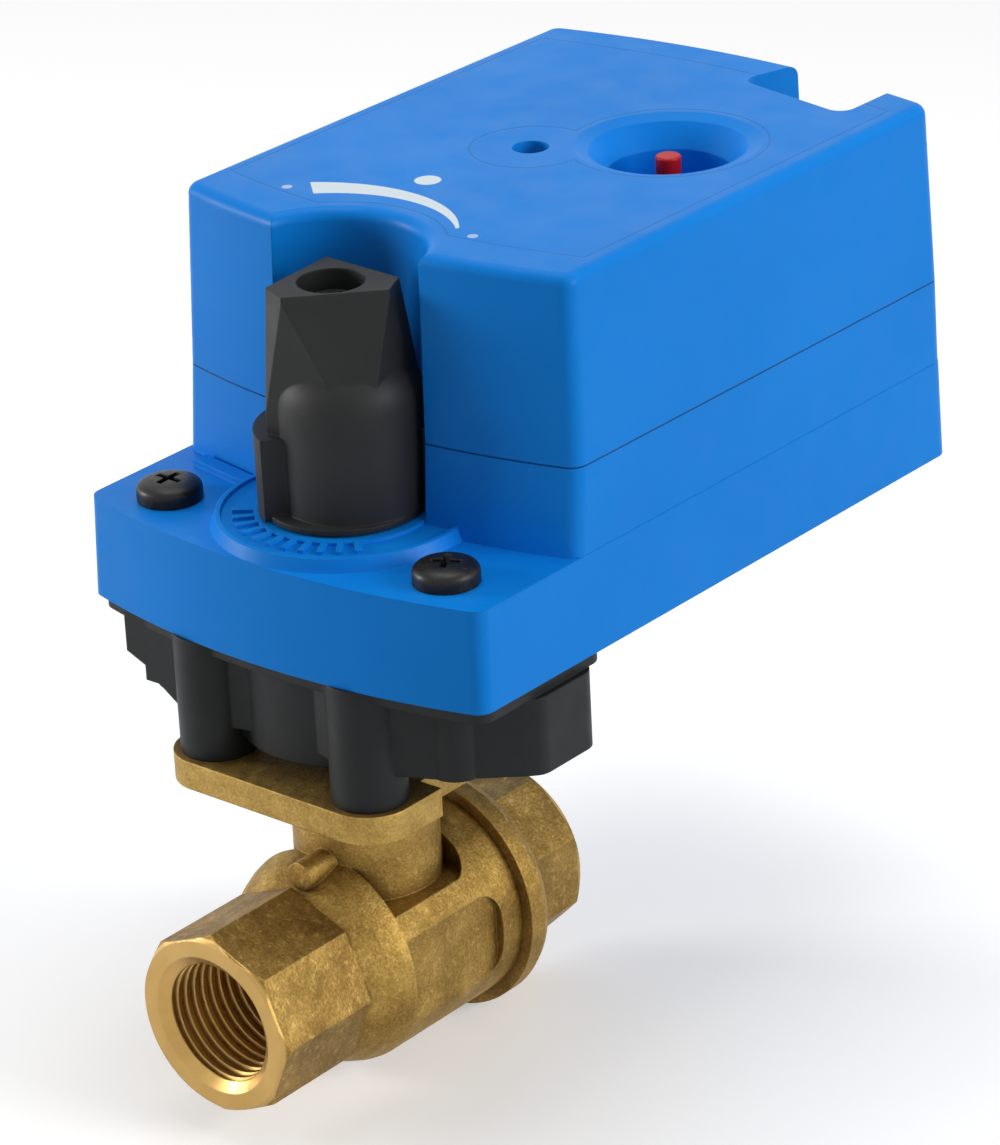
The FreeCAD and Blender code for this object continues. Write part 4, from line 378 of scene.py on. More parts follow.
RUBBER = moulded_plastic("black rubber", (0.008, 0.008, 0.008), (0.016, 0.016, 0.016), 0.75, edge=0.1)
SLEEVE = moulded_plastic("shrunk capacitor sleeve", (0.008, 0.01, 0.03), (0.012, 0.016, 0.05), 0.2, edge=0.4)
RED = moulded_plastic("red button plastic", (0.46, 0.004, 0.006), (0.56, 0.006, 0.008), 0.34, edge=0.2,
                      gloss=0.25)
print("plastics ready")

# %% [markdown]
# Some finishes change with the place on the piece: printed marks, a groove, or faces that were cut. They
# need the three coordinates one by one, sums of values, and mixes of two colours. Each of these is one node,
# and the short functions below add it and return its output, so that a formula can be read as one line.

# %% Sums, mixes and places


def calc(finish, operation, first, second=None):
    """One sum of values or numbers."""
    node = finish.nodes.new("ShaderNodeMath")
    node.operation = operation
    for socket, value in zip(node.inputs, (first, second)):
        if isinstance(value, (int, float)):
            socket.default_value = value
        elif value is not None:
            finish.links.new(value, socket)
    return node.outputs[0]


def mix(finish, share, first, second):
    """Mix two colours by a share."""
    node = finish.nodes.new("ShaderNodeMix")
    node.data_type = "RGBA"
    finish.links.new(share, node.inputs["Factor"])
    finish.links.new(first, node.inputs["A"])
    finish.links.new(second, node.inputs["B"])
    return node.outputs["Result"]


def colour(finish, tone):
    """A plain colour as a socket."""
    node = finish.nodes.new("ShaderNodeRGB")
    node.outputs[0].default_value = (*tone, 1)
    return node.outputs[0]


def axes(finish):
    """The three object coordinates as separate values in metres."""
    split = finish.nodes.new("ShaderNodeSeparateXYZ")
    finish.links.new(finish.place, split.inputs[0])
    return split.outputs


print("sums, mixes and places ready")

# %% [markdown]
# The housing's blue plastic carries small marks that are a few hundredths of a millimetre deep or only
# printed, so they belong in the finish and not in the mesh. A painted picture could carry them, but it
# would blur close up. Each mark is drawn as a signed distance in the top's plan instead, which is the
# distance to the mark's edge, less than zero inside it. The class below holds the plan's coordinates and
# turns such distances into soft-edged shares.

# %% Distances in the cover's plan
TOP_LEVEL = 110.1 * MM
TOP_SKIN = 0.25 * MM
SOFT = 0.06 * MM


class Plan:
    """Distances in the cover's plan, made of math nodes of one finish."""

    def __init__(self, finish):
        self.finish = finish
        self.x, self.y, self.z = axes(finish)

    def calc(self, operation, first, second=None):
        """One sum in the plan's finish."""
        return calc(self.finish, operation, first, second)

    def circle(self, x, y, radius):
        """Distance to a circle's edge, less than zero inside."""
        across = self.calc("SUBTRACT", self.x, x)
        along = self.calc("SUBTRACT", self.y, y)
        squares = self.calc("ADD", self.calc("MULTIPLY", across, across),
                            self.calc("MULTIPLY", along, along))
        return self.calc("SUBTRACT", self.calc("SQRT", squares), radius)

    def below(self, value, limit, soft=SOFT):
        """One where a value is below a limit, zero above it, with a soft change."""
        return self.finish.spread(value, 1, 0, limit - soft, limit + soft)

    def line(self, distance, half, soft=SOFT):
        """One close to the edge of a distance."""
        return self.below(self.calc("ABSOLUTE", distance), half, soft)

    def on_top(self):
        """One on the cover's flat top."""
        return self.finish.spread(self.z, 0, 1, TOP_LEVEL - TOP_SKIN - SOFT, TOP_LEVEL - TOP_SKIN + SOFT)


print("plan helper ready")

# %% [markdown]
# On the cover's flat top a faint step follows the outline two millimetres inside the edge. Its front and
# rear are shallow curves, which are parabolas here, because a square is one node. It goes round the
# handle's recess too. The distance to the whole outline is the largest of the distances to its parts.
# Another step goes round the dish and the selector hole.

# %% Faint steps on the top
STEP_HALF = 0.16 * MM
STEP_SOFT = 0.16 * MM
STEP_SIDE = 33.6 * MM
STEP_FRONT = 12.2 * MM
STEP_REAR = 93.1 * MM
FRONT_CURVE = 3.6
REAR_CURVE = 3.1
RECESS_X = -1.2 * MM
RECESS_STEP = 17.9 * MM
DISH_X = 13.9 * MM
DISH_Y = 60.8 * MM
DISH_STEP = 15.2 * MM
HOLE_X = -2.4 * MM
HOLE_Y = 48.4 * MM
HOLE_STEP = 9.2 * MM


def inset_outline(plan):
    """Distance to the outline of the top, drawn in from its edges."""
    side = plan.calc("SUBTRACT", plan.calc("ABSOLUTE", plan.x), STEP_SIDE)
    squared = plan.calc("MULTIPLY", plan.x, plan.x)
    front_edge = plan.calc("ADD", plan.calc("MULTIPLY", squared, FRONT_CURVE), STEP_FRONT)
    front = plan.calc("SUBTRACT", front_edge, plan.y)
    rear_edge = plan.calc("SUBTRACT", STEP_REAR, plan.calc("MULTIPLY", squared, REAR_CURVE))
    rear = plan.calc("SUBTRACT", plan.y, rear_edge)
    recess = plan.calc("MULTIPLY", plan.circle(RECESS_X, 0, RECESS_STEP), -1)
    ends = plan.calc("MAXIMUM", front, rear)
    return plan.calc("MAXIMUM", plan.calc("MAXIMUM", side, ends), recess)


def faint_steps(plan):
    """One on the step inside the outline and on the rings round dish and hole."""
    border = plan.line(inset_outline(plan), STEP_HALF, STEP_SOFT)
    dish = plan.circle(DISH_X, DISH_Y, DISH_STEP)
    hole = plan.circle(HOLE_X, HOLE_Y, HOLE_STEP)
    rings = plan.line(plan.calc("MINIMUM", dish, hole), STEP_HALF, STEP_SOFT)
    return plan.calc("MAXIMUM", border, rings)


print("steps ready")

# %% [markdown]
# A white arc is printed beside the handle's recess. It is broad at its left end and runs out to a thin
# line, so its inner edge and its width both grow with the angle round the handle's axis. A round spot
# stands next to it, and a small, paler one at each of its ends.

# %% White print on the top
ARC_INNER_THIN = 18.8 * MM
ARC_INNER_BROAD = 22.9 * MM
ARC_THIN = 0.5 * MM
ARC_BROAD = 5.0 * MM
ARC_START = math.radians(137)
ARC_END = math.radians(56)
SPOT_X = -6.1 * MM
SPOT_Y = 29.0 * MM
SPOT_RADIUS = 2.0 * MM
END_MARKS = [(-22.0 * MM, 15.7 * MM), (14.6 * MM, 14.5 * MM)]
END_MARK_RADIUS = 0.8 * MM
END_MARK_SHARE = 0.6


def tapering_arc(plan):
    """One inside the printed arc that tapers from left to right."""
    angle = plan.calc("ARCTAN2", plan.y, plan.x)
    share = plan.finish.spread(angle, 0, 1, ARC_END, ARC_START)
    width = plan.calc("ADD", plan.calc("MULTIPLY", share, ARC_BROAD - ARC_THIN), ARC_THIN)
    drift = plan.calc("MULTIPLY", share, ARC_INNER_BROAD - ARC_INNER_THIN)
    out = plan.calc("SUBTRACT", plan.circle(0, 0, ARC_INNER_THIN), drift)
    inside = plan.finish.spread(out, 0, 1, -SOFT, SOFT)
    outside = plan.finish.spread(plan.calc("SUBTRACT", out, width), 1, 0, -SOFT, SOFT)
    after_end = plan.calc("GREATER_THAN", angle, ARC_END)
    before_start = plan.calc("LESS_THAN", angle, ARC_START)
    band = plan.calc("MULTIPLY", inside, outside)
    return plan.calc("MULTIPLY", band, plan.calc("MULTIPLY", after_end, before_start))


def white_print(plan):
    """One on the arc and the spot, a share of one on the small marks."""
    spot = plan.below(plan.circle(SPOT_X, SPOT_Y, SPOT_RADIUS), 0)
    printed = plan.calc("MAXIMUM", tapering_arc(plan), spot)
    for mark_x, mark_y in END_MARKS:
        mark = plan.below(plan.circle(mark_x, mark_y, END_MARK_RADIUS), 0)
        printed = plan.calc("MAXIMUM", printed, plan.calc("MULTIPLY", mark, END_MARK_SHARE))
    return printed


print("print ready")

# %% [markdown]
# The finished blue is the plastic from above with the marks laid over its colour. A dark fine groove runs
# round the seam between base and cover, and the groove and the steps are pressed in by a bump as well.

# %% Blue housing
SEAM_LEVEL = 81.6 * MM
SEAM_HALF = 0.11 * MM
SEAM_SHADE = 0.85
STEP_SHADE = 0.3
SHADE_BLUE = (0.001, 0.05, 0.2)
PRINT_WHITE = (0.72, 0.82, 0.88)
GROOVE_DEPTH = 0.1
GROOVE_STRENGTH = 0.7


def housing_blue():
    """Blue plastic with the seam's groove, the faint steps and the white print."""
    finish = plastic_finish("blue housing plastic", (0.0015, 0.216, 0.72), (0.003, 0.23, 0.76), 0.4,
                            cloud=30.0, gloss=0.12)
    base = finish.shader.inputs["Base Color"].links[0].from_socket
    plan = Plan(finish)
    top = plan.on_top()
    seam = plan.line(plan.calc("SUBTRACT", plan.z, SEAM_LEVEL), SEAM_HALF)
    steps = plan.calc("MULTIPLY", faint_steps(plan), top)
    printed = plan.calc("MULTIPLY", white_print(plan), top)
    shade = colour(finish, SHADE_BLUE)
    stepped = mix(finish, plan.calc("MULTIPLY", steps, STEP_SHADE), base, shade)
    seamed = mix(finish, plan.calc("MULTIPLY", seam, SEAM_SHADE), stepped, shade)
    finish.set("Base Color", mix(finish, printed, seamed, colour(finish, PRINT_WHITE)))
    level = plan.calc("SUBTRACT", 1.0, plan.calc("MAXIMUM", seam, steps))
    finish.bump(level, GROOVE_DEPTH, GROOVE_STRENGTH)
    return finish.material


BLUE = housing_blue()
print("housing finish ready")

# %% [markdown]
# The brass is lighter on its edges, partly from wear and partly as a painted highlight, and darker in
# its corners as painted shade. Both could be painted by hand, but they follow from the shape. A Bevel
# node's normal leaves the flat normal near an edge, so the angle between the two says how near the edge
# is. An Ambient Occlusion node sees how much of the open sky a point has, and corners have little.

# %% Worn edges with painted highlight, painted shade in corners
CORNER_SHADE_START = 0.35
CORNER_SHADE_END = 0.95


def worn_and_highlit_edge(finish, size, start, end):
    """One on edges, where the rounded normal leaves the flat one, else zero."""
    rounded = finish.nodes.new("ShaderNodeBevel")
    rounded.samples = EDGE_SAMPLES
    rounded.inputs["Radius"].default_value = size * MM
    flat = finish.nodes.new("ShaderNodeNewGeometry")
    agree = finish.nodes.new("ShaderNodeVectorMath")
    agree.operation = "DOT_PRODUCT"
    finish.links.new(rounded.outputs["Normal"], agree.inputs[0])
    finish.links.new(flat.outputs["Normal"], agree.inputs[1])
    return finish.spread(calc(finish, "SUBTRACT", 1.0, agree.outputs["Value"]), 0, 1, start, end)


def painted_corner_shade(finish, reach):
    """One deep in corners, where shade is painted, zero in the open."""
    corner_occlusion = finish.nodes.new("ShaderNodeAmbientOcclusion")
    corner_occlusion.samples = EDGE_SAMPLES
    corner_occlusion.inputs["Distance"].default_value = reach * MM
    return finish.spread(corner_occlusion.outputs["AO"], 1, 0, CORNER_SHADE_START, CORNER_SHADE_END)


print("wear and dirt helpers ready")

# %% [markdown]
# The valve is forged or cast brass. Its barrel keeps the rough skin of the mould, while the ports, their
# faces and the threads are cut on a lathe and shine. Groups of faces could have a material each, but a CAD
# node's mesh is left alone here. So the material tells them apart by where they are: the pipe runs along Y,
# and the distance from that axis and the place along it say whether a point is inside a port, on its face,
# on its flats or on the barrel.

# %% Zones of the brass
PORT_FLAT_END = -17.0 * MM
OUTLET_FLAT_START = 21.0 * MM
PORT_LEVEL = 20.0 * MM
PORT_MOUTH = 11.0 * MM
INLET_FACE = -36.0 * MM
OUTLET_FACE = 33.4 * MM
FACE_SKIN = 0.35 * MM
MOUTH_BLEND = 0.2 * MM
FLAT_BLEND = 0.6 * MM
FLAT_SHARE = 0.05


def brass_zones(finish):
    """Shares of a point that lie on the octagon's flats and on machined surfaces."""
    x, y, z = axes(finish)
    squares = calc(finish, "ADD", calc(finish, "MULTIPLY", x, x), calc(finish, "MULTIPLY", z, z))
    off_axis = calc(finish, "SQRT", squares)
    in_port = finish.spread(off_axis, 1, 0, PORT_MOUTH - MOUTH_BLEND, PORT_MOUTH + MOUTH_BLEND)
    inlet_face = finish.spread(y, 1, 0, INLET_FACE + FACE_SKIN, INLET_FACE + 2 * FACE_SKIN)
    outlet_face = finish.spread(y, 0, 1, OUTLET_FACE - 2 * FACE_SKIN, OUTLET_FACE - FACE_SKIN)
    turned = calc(finish, "MAXIMUM", in_port, calc(finish, "MAXIMUM", inlet_face, outlet_face))
    before = finish.spread(y, 1, 0, PORT_FLAT_END - FLAT_BLEND, PORT_FLAT_END + FLAT_BLEND)
    after = finish.spread(y, 0, 1, OUTLET_FLAT_START - FLAT_BLEND, OUTLET_FLAT_START + FLAT_BLEND)
    below_pad = finish.spread(z, 1, 0, PORT_LEVEL - FLAT_BLEND, PORT_LEVEL + FLAT_BLEND)
    on_flats = calc(finish, "MULTIPLY", calc(finish, "MAXIMUM", before, after), below_pad)
    machined = calc(finish, "MAXIMUM", calc(finish, "MULTIPLY", on_flats, FLAT_SHARE), turned)
    return on_flats, machined


print("brass zones ready")

# %% [markdown]
# The mould's skin is no one colour. A coarse and a fine noise are added, and the sum picks a tone from dark
# to light brass. Darker tones on the octagon's flats are painted shade, and lighter brass near the pad is
# painted light. Handling polishes the skin's edges, and a painted highlight lightens them more, while
# painted shade darkens the corners, so the two helpers above lighten the one and darken the other. The
# tones are listed as places on the sum and colours, as in a Color Ramp.

# %% Cast skin of the brass
CLOUD_GRAIN = 6.0
CLOUD_SHARE = 0.55
SAND_SHARE = 0.45
CAST_TONES = ((0.34, (0.19, 0.108, 0.022)), (0.5, (0.31, 0.192, 0.045)), (0.66, (0.45, 0.295, 0.080)))
# The flats' darker tones and their share below are painted shade.
FLAT_SHADE_TONES = ((0.34, (0.10, 0.052, 0.010)), (0.5, (0.18, 0.103, 0.023)), (0.66, (0.32, 0.200, 0.052)))
LIGHT_TONES = ((0.34, (0.34, 0.215, 0.058)), (0.66, (0.60, 0.41, 0.125)))
FLAT_PAINTED_SHADE = 0.55
# Lighter brass near the pad is painted light.
BOSS_PAINTED_LIGHT = 0.35
BOSS_FADE = 4 * MM
SPECK_GRAIN = 1.1
SPECK_LIGHT = 0.6
SPECK_STOPS = (0.56, 0.68)
# Lighter edges are partly wear and partly painted highlight.
WEAR_AND_HIGHLIGHT_SIZE = 0.5
WEAR_AND_HIGHLIGHT_STOPS = (0.01, 0.12)
EDGE_WEAR_AND_HIGHLIGHT = 0.45
# Darker brown in the corners is painted shade.
CORNER_SHADE_SHARE = 0.75
CORNER_SHADE_REACH = 3.5
SHADE_BROWN = (0.10, 0.048, 0.010)


def cast_skin(finish, sand, on_flats, rough):
    """Tones of the mould's skin, with edges lightened by wear and painted highlight, and painted shade in
    corners.
    """
    height = axes(finish)[2]
    cloud = finish.noise(CLOUD_GRAIN, 6)
    tone = calc(finish, "ADD", calc(finish, "MULTIPLY", cloud, CLOUD_SHARE),
                calc(finish, "MULTIPLY", sand, SAND_SHARE))
    light = finish.ramp(tone, *LIGHT_TONES)
    # Darker tones on the octagon's flats are painted shade.
    flat_shade_share = calc(finish, "MULTIPLY", on_flats, FLAT_PAINTED_SHADE)
    skin = mix(finish, flat_shade_share, finish.ramp(tone, *CAST_TONES), finish.ramp(tone, *FLAT_SHADE_TONES))
    # Painted light: the brass grows lighter towards the pad.
    high = finish.spread(height, 0, BOSS_PAINTED_LIGHT, PORT_LEVEL - BOSS_FADE, PORT_LEVEL)
    specks = finish.spread(finish.noise(SPECK_GRAIN, 6), 0, SPECK_LIGHT, *SPECK_STOPS)
    skin = mix(finish, calc(finish, "MAXIMUM", high, specks), skin, light)
    # Edges lightened, partly as wear and partly as painted highlight.
    worn = calc(finish, "MULTIPLY", worn_and_highlit_edge(finish, WEAR_AND_HIGHLIGHT_SIZE, *WEAR_AND_HIGHLIGHT_STOPS), EDGE_WEAR_AND_HIGHLIGHT)
    skin = mix(finish, calc(finish, "MULTIPLY", worn, rough), skin, light)
    # Painted shade: corners with little open sky are darkened towards brown.
    corner_shade = calc(finish, "MULTIPLY", painted_corner_shade(finish, CORNER_SHADE_REACH), CORNER_SHADE_SHARE)
    return mix(finish, calc(finish, "MULTIPLY", corner_shade, rough), skin, colour(finish, SHADE_BROWN))


print("cast skin ready")

# %% [markdown]
# The finished brass is the skin where the mould left it and a brighter, smoother metal where the lathe cut
# it. Three bumps lie over each other: shallow dents from the mould, its sand, and a grain so fine that it
# only softens the shine.

# %% Brass
BRIGHT_TONES = ((0.35, (0.50, 0.31, 0.095)), (0.65, (0.58, 0.37, 0.125)))
BRIGHT_PATCH = 8.0
SAND_GRAIN = 0.42
SAND_DEPTH = 0.085
SAND_STRENGTH = 0.9
DENT_GRAIN = 3.5
DENT_DEPTH = 0.22
DENT_STRENGTH = 0.5
FINE_GRAIN = 0.16
FINE_DEPTH = 0.012
FINE_STRENGTH = 0.6
SHINE_GRAIN = 1.6
CAST_ROUGHNESS = (0.46, 0.64)
MACHINED_GLOSS = 0.2


def valve_brass():
    """Brass with a sand-cast skin outside and machined faces and threads."""
    finish = Finish("valve brass", metallic=0.86, edge=0.35)
    on_flats, machined = brass_zones(finish)
    rough = calc(finish, "SUBTRACT", 1.0, machined)
    sand = finish.noise(SAND_GRAIN, 3)
    bright = finish.ramp(finish.noise(BRIGHT_PATCH, 4), *BRIGHT_TONES)
    finish.set("Base Color", mix(finish, machined, cast_skin(finish, sand, on_flats, rough), bright))
    cast_gloss = finish.spread(finish.noise(SHINE_GRAIN, 5), *CAST_ROUGHNESS)
    shine = calc(finish, "MULTIPLY", machined, MACHINED_GLOSS)
    finish.set("Roughness", calc(finish, "SUBTRACT", cast_gloss, shine))
    finish.bump(calc(finish, "MULTIPLY", finish.noise(DENT_GRAIN, 4), rough), DENT_DEPTH, DENT_STRENGTH)
    finish.bump(calc(finish, "MULTIPLY", sand, rough), SAND_DEPTH, SAND_STRENGTH)
    finish.bump(finish.noise(FINE_GRAIN, 2), FINE_DEPTH, FINE_STRENGTH)
    return finish.material


BRASS = valve_brass()
print("brass ready")

# %% [markdown]
# Steel pieces are turned or punched. Their fine parallel lines could be an anisotropic shine, but a noise
# that is squeezed along one direction shows them close up too. The black screws have a thin blackened coat
# that is worn to metal in specks.

# %% Metals
BRUSH_PATCH = 7.0
BRUSH_LINE = 0.5
BRUSH_DEPTH = 0.01
BRUSH_LESS_ROUGH = 0.08
BRUSH_MORE_ROUGH = 0.1
BRUSH_STRENGTH = 0.5
COAT_SPECK = 0.7
COAT_STOPS = ((0.58, (0.007, 0.0065, 0.0065)), (0.7, (0.02, 0.016, 0.014)))
COAT_ROUGHNESS = (0.32, 0.5)
COAT_DEPTH = 0.02


def brushed_metal(name, dark, light, roughness, stretch, edge=0.15):
    """Bright metal with fine parallel lines across the stretched direction."""
    finish = Finish(name, metallic=1.0, edge=edge)
    lines = finish.noise(BRUSH_LINE, 3, stretch)
    first, last = CLOUD_STOPS
    finish.set("Base Color", finish.ramp(finish.noise(BRUSH_PATCH, 3), (first, dark), (last, light)))
    finish.set("Roughness", finish.spread(lines, roughness - BRUSH_LESS_ROUGH, roughness + BRUSH_MORE_ROUGH))
    finish.bump(lines, BRUSH_DEPTH, BRUSH_STRENGTH)
    return finish.material


def blackened_steel():
    """Black coated steel with worn specks."""
    finish = Finish("black coated steel", roughness=0.4, metallic=0.4, edge=0.3)
    specks = finish.noise(COAT_SPECK, 6)
    finish.set("Base Color", finish.ramp(specks, *COAT_STOPS))
    finish.set("Roughness", finish.spread(specks, *COAT_ROUGHNESS))
    finish.bump(specks, COAT_DEPTH, BRUSH_STRENGTH)
    return finish.material


STEEL = brushed_metal("turned steel", (0.52, 0.53, 0.55), (0.64, 0.65, 0.67), 0.3, (1, 1, 0.05))
PLATE_STEEL = brushed_metal("rolled plate steel", (0.48, 0.49, 0.5), (0.58, 0.59, 0.6), 0.36, (0.05, 1, 1))
CAN_STEEL = brushed_metal("drawn can steel", (0.42, 0.43, 0.45), (0.52, 0.53, 0.55), 0.32, (1, 1, 0.08))
CHROME = brushed_metal("plated ball", (0.72, 0.73, 0.75), (0.8, 0.81, 0.83), 0.14, (1, 1, 1))
SPRING_STEEL = brushed_metal("spring wire", (0.5, 0.5, 0.52), (0.6, 0.6, 0.62), 0.28, (1, 1, 1), edge=0.05)
BLACK_STEEL = blackened_steel()
print("metals ready")

# %% [markdown]
# The circuit board is a green laminate. Copper tracks show through its coat as lighter lines. Real tracks
# could be drawn one by one, but the board is inside the housing, so a brick pattern laid over its plan
# stands for them.

# %% Circuit board
TRACK_SCALE = 120.0
TRACK_WIDTH = 0.05
TRACK_DEPTH = 0.04
TRACK_STRENGTH = 0.5
BOARD_DARK = (0.01, 0.12, 0.04, 1)
BOARD_LIGHT = (0.012, 0.14, 0.05, 1)
TRACK_GREEN = (0.04, 0.26, 0.09, 1)


def board_laminate():
    """Green board with lighter copper tracks under its coat."""
    finish = Finish("green board", roughness=0.35, edge=0.1)
    tracks = finish.nodes.new("ShaderNodeTexBrick")
    tracks.inputs["Scale"].default_value = TRACK_SCALE
    tracks.inputs["Mortar Size"].default_value = TRACK_WIDTH
    tracks.inputs["Color1"].default_value = BOARD_DARK
    tracks.inputs["Color2"].default_value = BOARD_LIGHT
    tracks.inputs["Mortar"].default_value = TRACK_GREEN
    finish.links.new(finish.place, tracks.inputs["Vector"])
    finish.set("Base Color", tracks.outputs["Color"])
    finish.bump(tracks.outputs["Fac"], TRACK_DEPTH, TRACK_STRENGTH)
    return finish.material


BOARD = board_laminate()
print("board ready")

# %% [markdown]
# Each CAD node now gets its finish. The nodes could be painted one by one, but a node's mesh stays as it is
# and only its material slot is filled, so one table from finish to nodes says it all and shows which pieces
# share a finish. What is left over is printed, so that no piece stays grey.

# %% Dress the CAD nodes
FINISHES = [
    (BRASS, ["valve_body", "end_connector", "stem"]),
    (CHROME, ["ball"]),
    (SEAT_WHITE, ["inlet_seat", "outlet_seat", "body_seal", "thrust_washer"]),
    (RUBBER, ["stem_rings"]),
    (BRACKET_BLACK, ["mounting_bracket"]),
    (BLUE, ["housing_base", "housing_cover"]),
    (HANDLE_BLACK, ["handle"]),
    (BLACK_STEEL, ["flange_screws", "handle_screw"]),
    (STEEL, ["bracket_screws", "cover_screws", "drive_coupler", "first_shaft", "clutch_shaft",
             "plate_pillars", "plate_screws", "motor_screws", "board_pillars", "board_screws",
             "terminal_screws", "motor_pinion"]),
    (PLATE_STEEL, ["gear_plate"]),
    (CAN_STEEL, ["motor"]),
    (SPRING_STEEL, ["clutch_spring"]),
    (GEAR_WHITE, ["output_gear", "first_gear", "clutch_gear", "output_hub"]),
    (BUSH_GREY, ["lower_bush", "upper_bush", "clutch_bush"]),
    (BOARD, ["circuit_board"]),
    (PART_GREEN, ["terminal_block"]),
    (PART_WHITE, ["selector_body", "selector_dial", "relay"]),
    (SLEEVE, ["capacitors"]),
    (RED, ["release_button"]),
]

cad_objects = {o["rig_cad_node"]: o for o in bpy.context.scene.objects if "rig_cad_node" in o}
for finish, names in FINISHES:
    for node in names:
        node_object = cad_objects[node]
        node_object.data.materials.clear()
        node_object.data.materials.append(finish)
undressed = sorted(set(cad_objects) - {node for _, names in FINISHES for node in names})
print("dressed", sum(len(names) for _, names in FINISHES), "nodes; left:", undressed)

# %% [markdown]
# Two kinds of piece are modelled here by hand, the flange screws' domed heads and a small spring. An
# operator acts on all that is selected, so the helpers below clear the selection before each new piece,
# pick faces by their place and normal, and put a piece's place into its mesh. A copy gets its own mesh too.

# %% Helpers for pieces made by hand


def start_piece():
    """Leave edit mode and deselect everything before a new primitive."""
    if bpy.context.mode != "OBJECT":
        bpy.ops.object.mode_set(mode="OBJECT")
    bpy.ops.object.select_all(action="DESELECT")


def select_faces(piece, wanted):
    """In edit mode, select only the faces whose centre and normal fit."""
    mesh = bmesh.from_edit_mesh(piece.data)
    bpy.ops.mesh.select_all(action="DESELECT")
    for face in mesh.faces:
        if wanted(face.calc_center_median(), face.normal):
            face.select = True
    bmesh.update_edit_mesh(piece.data)


def settle(piece):
    """Put a piece's place, turn and size into its mesh."""
    start_piece()
    piece.select_set(True)
    bpy.context.view_layer.objects.active = piece
    bpy.ops.object.transform_apply(location=True, rotation=True, scale=True)


def twin(piece, name, turn, centre, to):
    """Copy a piece with its own mesh, turned round its centre and moved to a new place."""
    copy = piece.copy()
    copy.data = piece.data.copy()
    copy.name = name
    bpy.context.scene.collection.objects.link(copy)
    spin = Matrix.Rotation(turn, 4, "Z")
    copy.data.transform(Matrix.Translation(to) @ spin @ Matrix.Translation(-centre))
    return copy


print("helpers ready")

# %% [markdown]
# The two flange screws have domed black heads with a cross recess for the driver. The cross could be pressed
# into the dome face by face, but a punch is simpler: a small block grows an arm on each of its four sides,
# its lower end is drawn in, and a Boolean modifier later cuts it out of the head.

# %% Punch for the cross recess
CROSS_REACH = 2.7 * MM
CROSS_HALF = 0.62 * MM
CROSS_DEPTH = 2.2 * MM
CROSS_DRAW = 0.55
FACING = 0.9


def cross_punch(x, y, top):
    """Plus-shaped punch with walls that draw in towards its tip."""
    start_piece()
    centre = Vector((x, y, top - CROSS_DEPTH / 2 + CROSS_HALF))
    bpy.ops.mesh.primitive_cube_add(size=1, location=centre)
    punch = bpy.context.object
    punch.scale = (2 * CROSS_HALF, 2 * CROSS_HALF, CROSS_DEPTH + CROSS_HALF)
    settle(punch)
    bpy.ops.object.mode_set(mode="EDIT")
    for across, along in ((1, 0), (-1, 0), (0, 1), (0, -1)):
        side = Vector((across, along, 0))

        def outer(place, normal, side=side):
            beside = (place - centre).cross(side)
            return normal.dot(side) > FACING and abs(beside.z) < CROSS_HALF

        select_faces(punch, outer)
        move = side * (CROSS_REACH - CROSS_HALF)
        bpy.ops.mesh.extrude_region_move(TRANSFORM_OT_translate={"value": move})
    select_faces(punch, lambda place, normal: normal.z < -FACING)
    bpy.ops.transform.resize(value=(CROSS_DRAW, CROSS_DRAW, 1), center_override=centre)
    bpy.ops.object.mode_set(mode="OBJECT")
    return punch


print("punch ready")

# %% [markdown]
# A squashed ball would be a quick dome, but it has no rim, so the head is shaped from a short cylinder, which
# is the rim. Each small step of the dome is an extrusion upwards and a resize inwards, along a curve that is
# fuller than a circle, so the head has a flat crown and round shoulders. Its underside is inset and pulled
# down as the shank. The second screw is a copy, turned a little, as no two screws stop at one angle.

# %% Domed flange screws
SCREW_SEAT = 68.1 * MM
SCREW_X = 26.7 * MM
SCREW_Y = -9.0 * MM
SCREW_HEAD = 4.95 * MM
SCREW_RIM = 1.3 * MM
SCREW_DOME = 1.9 * MM
DOME_FULLNESS = 2.9
DOME_END = 86
DOME_STEPS = 14
SCREW_SHANK = 2.0 * MM
SCREW_END = 42.0 * MM
SCREW_SIDES = 64
HEAD_SMOOTH = math.radians(35)
SECOND_TURN = math.radians(28)


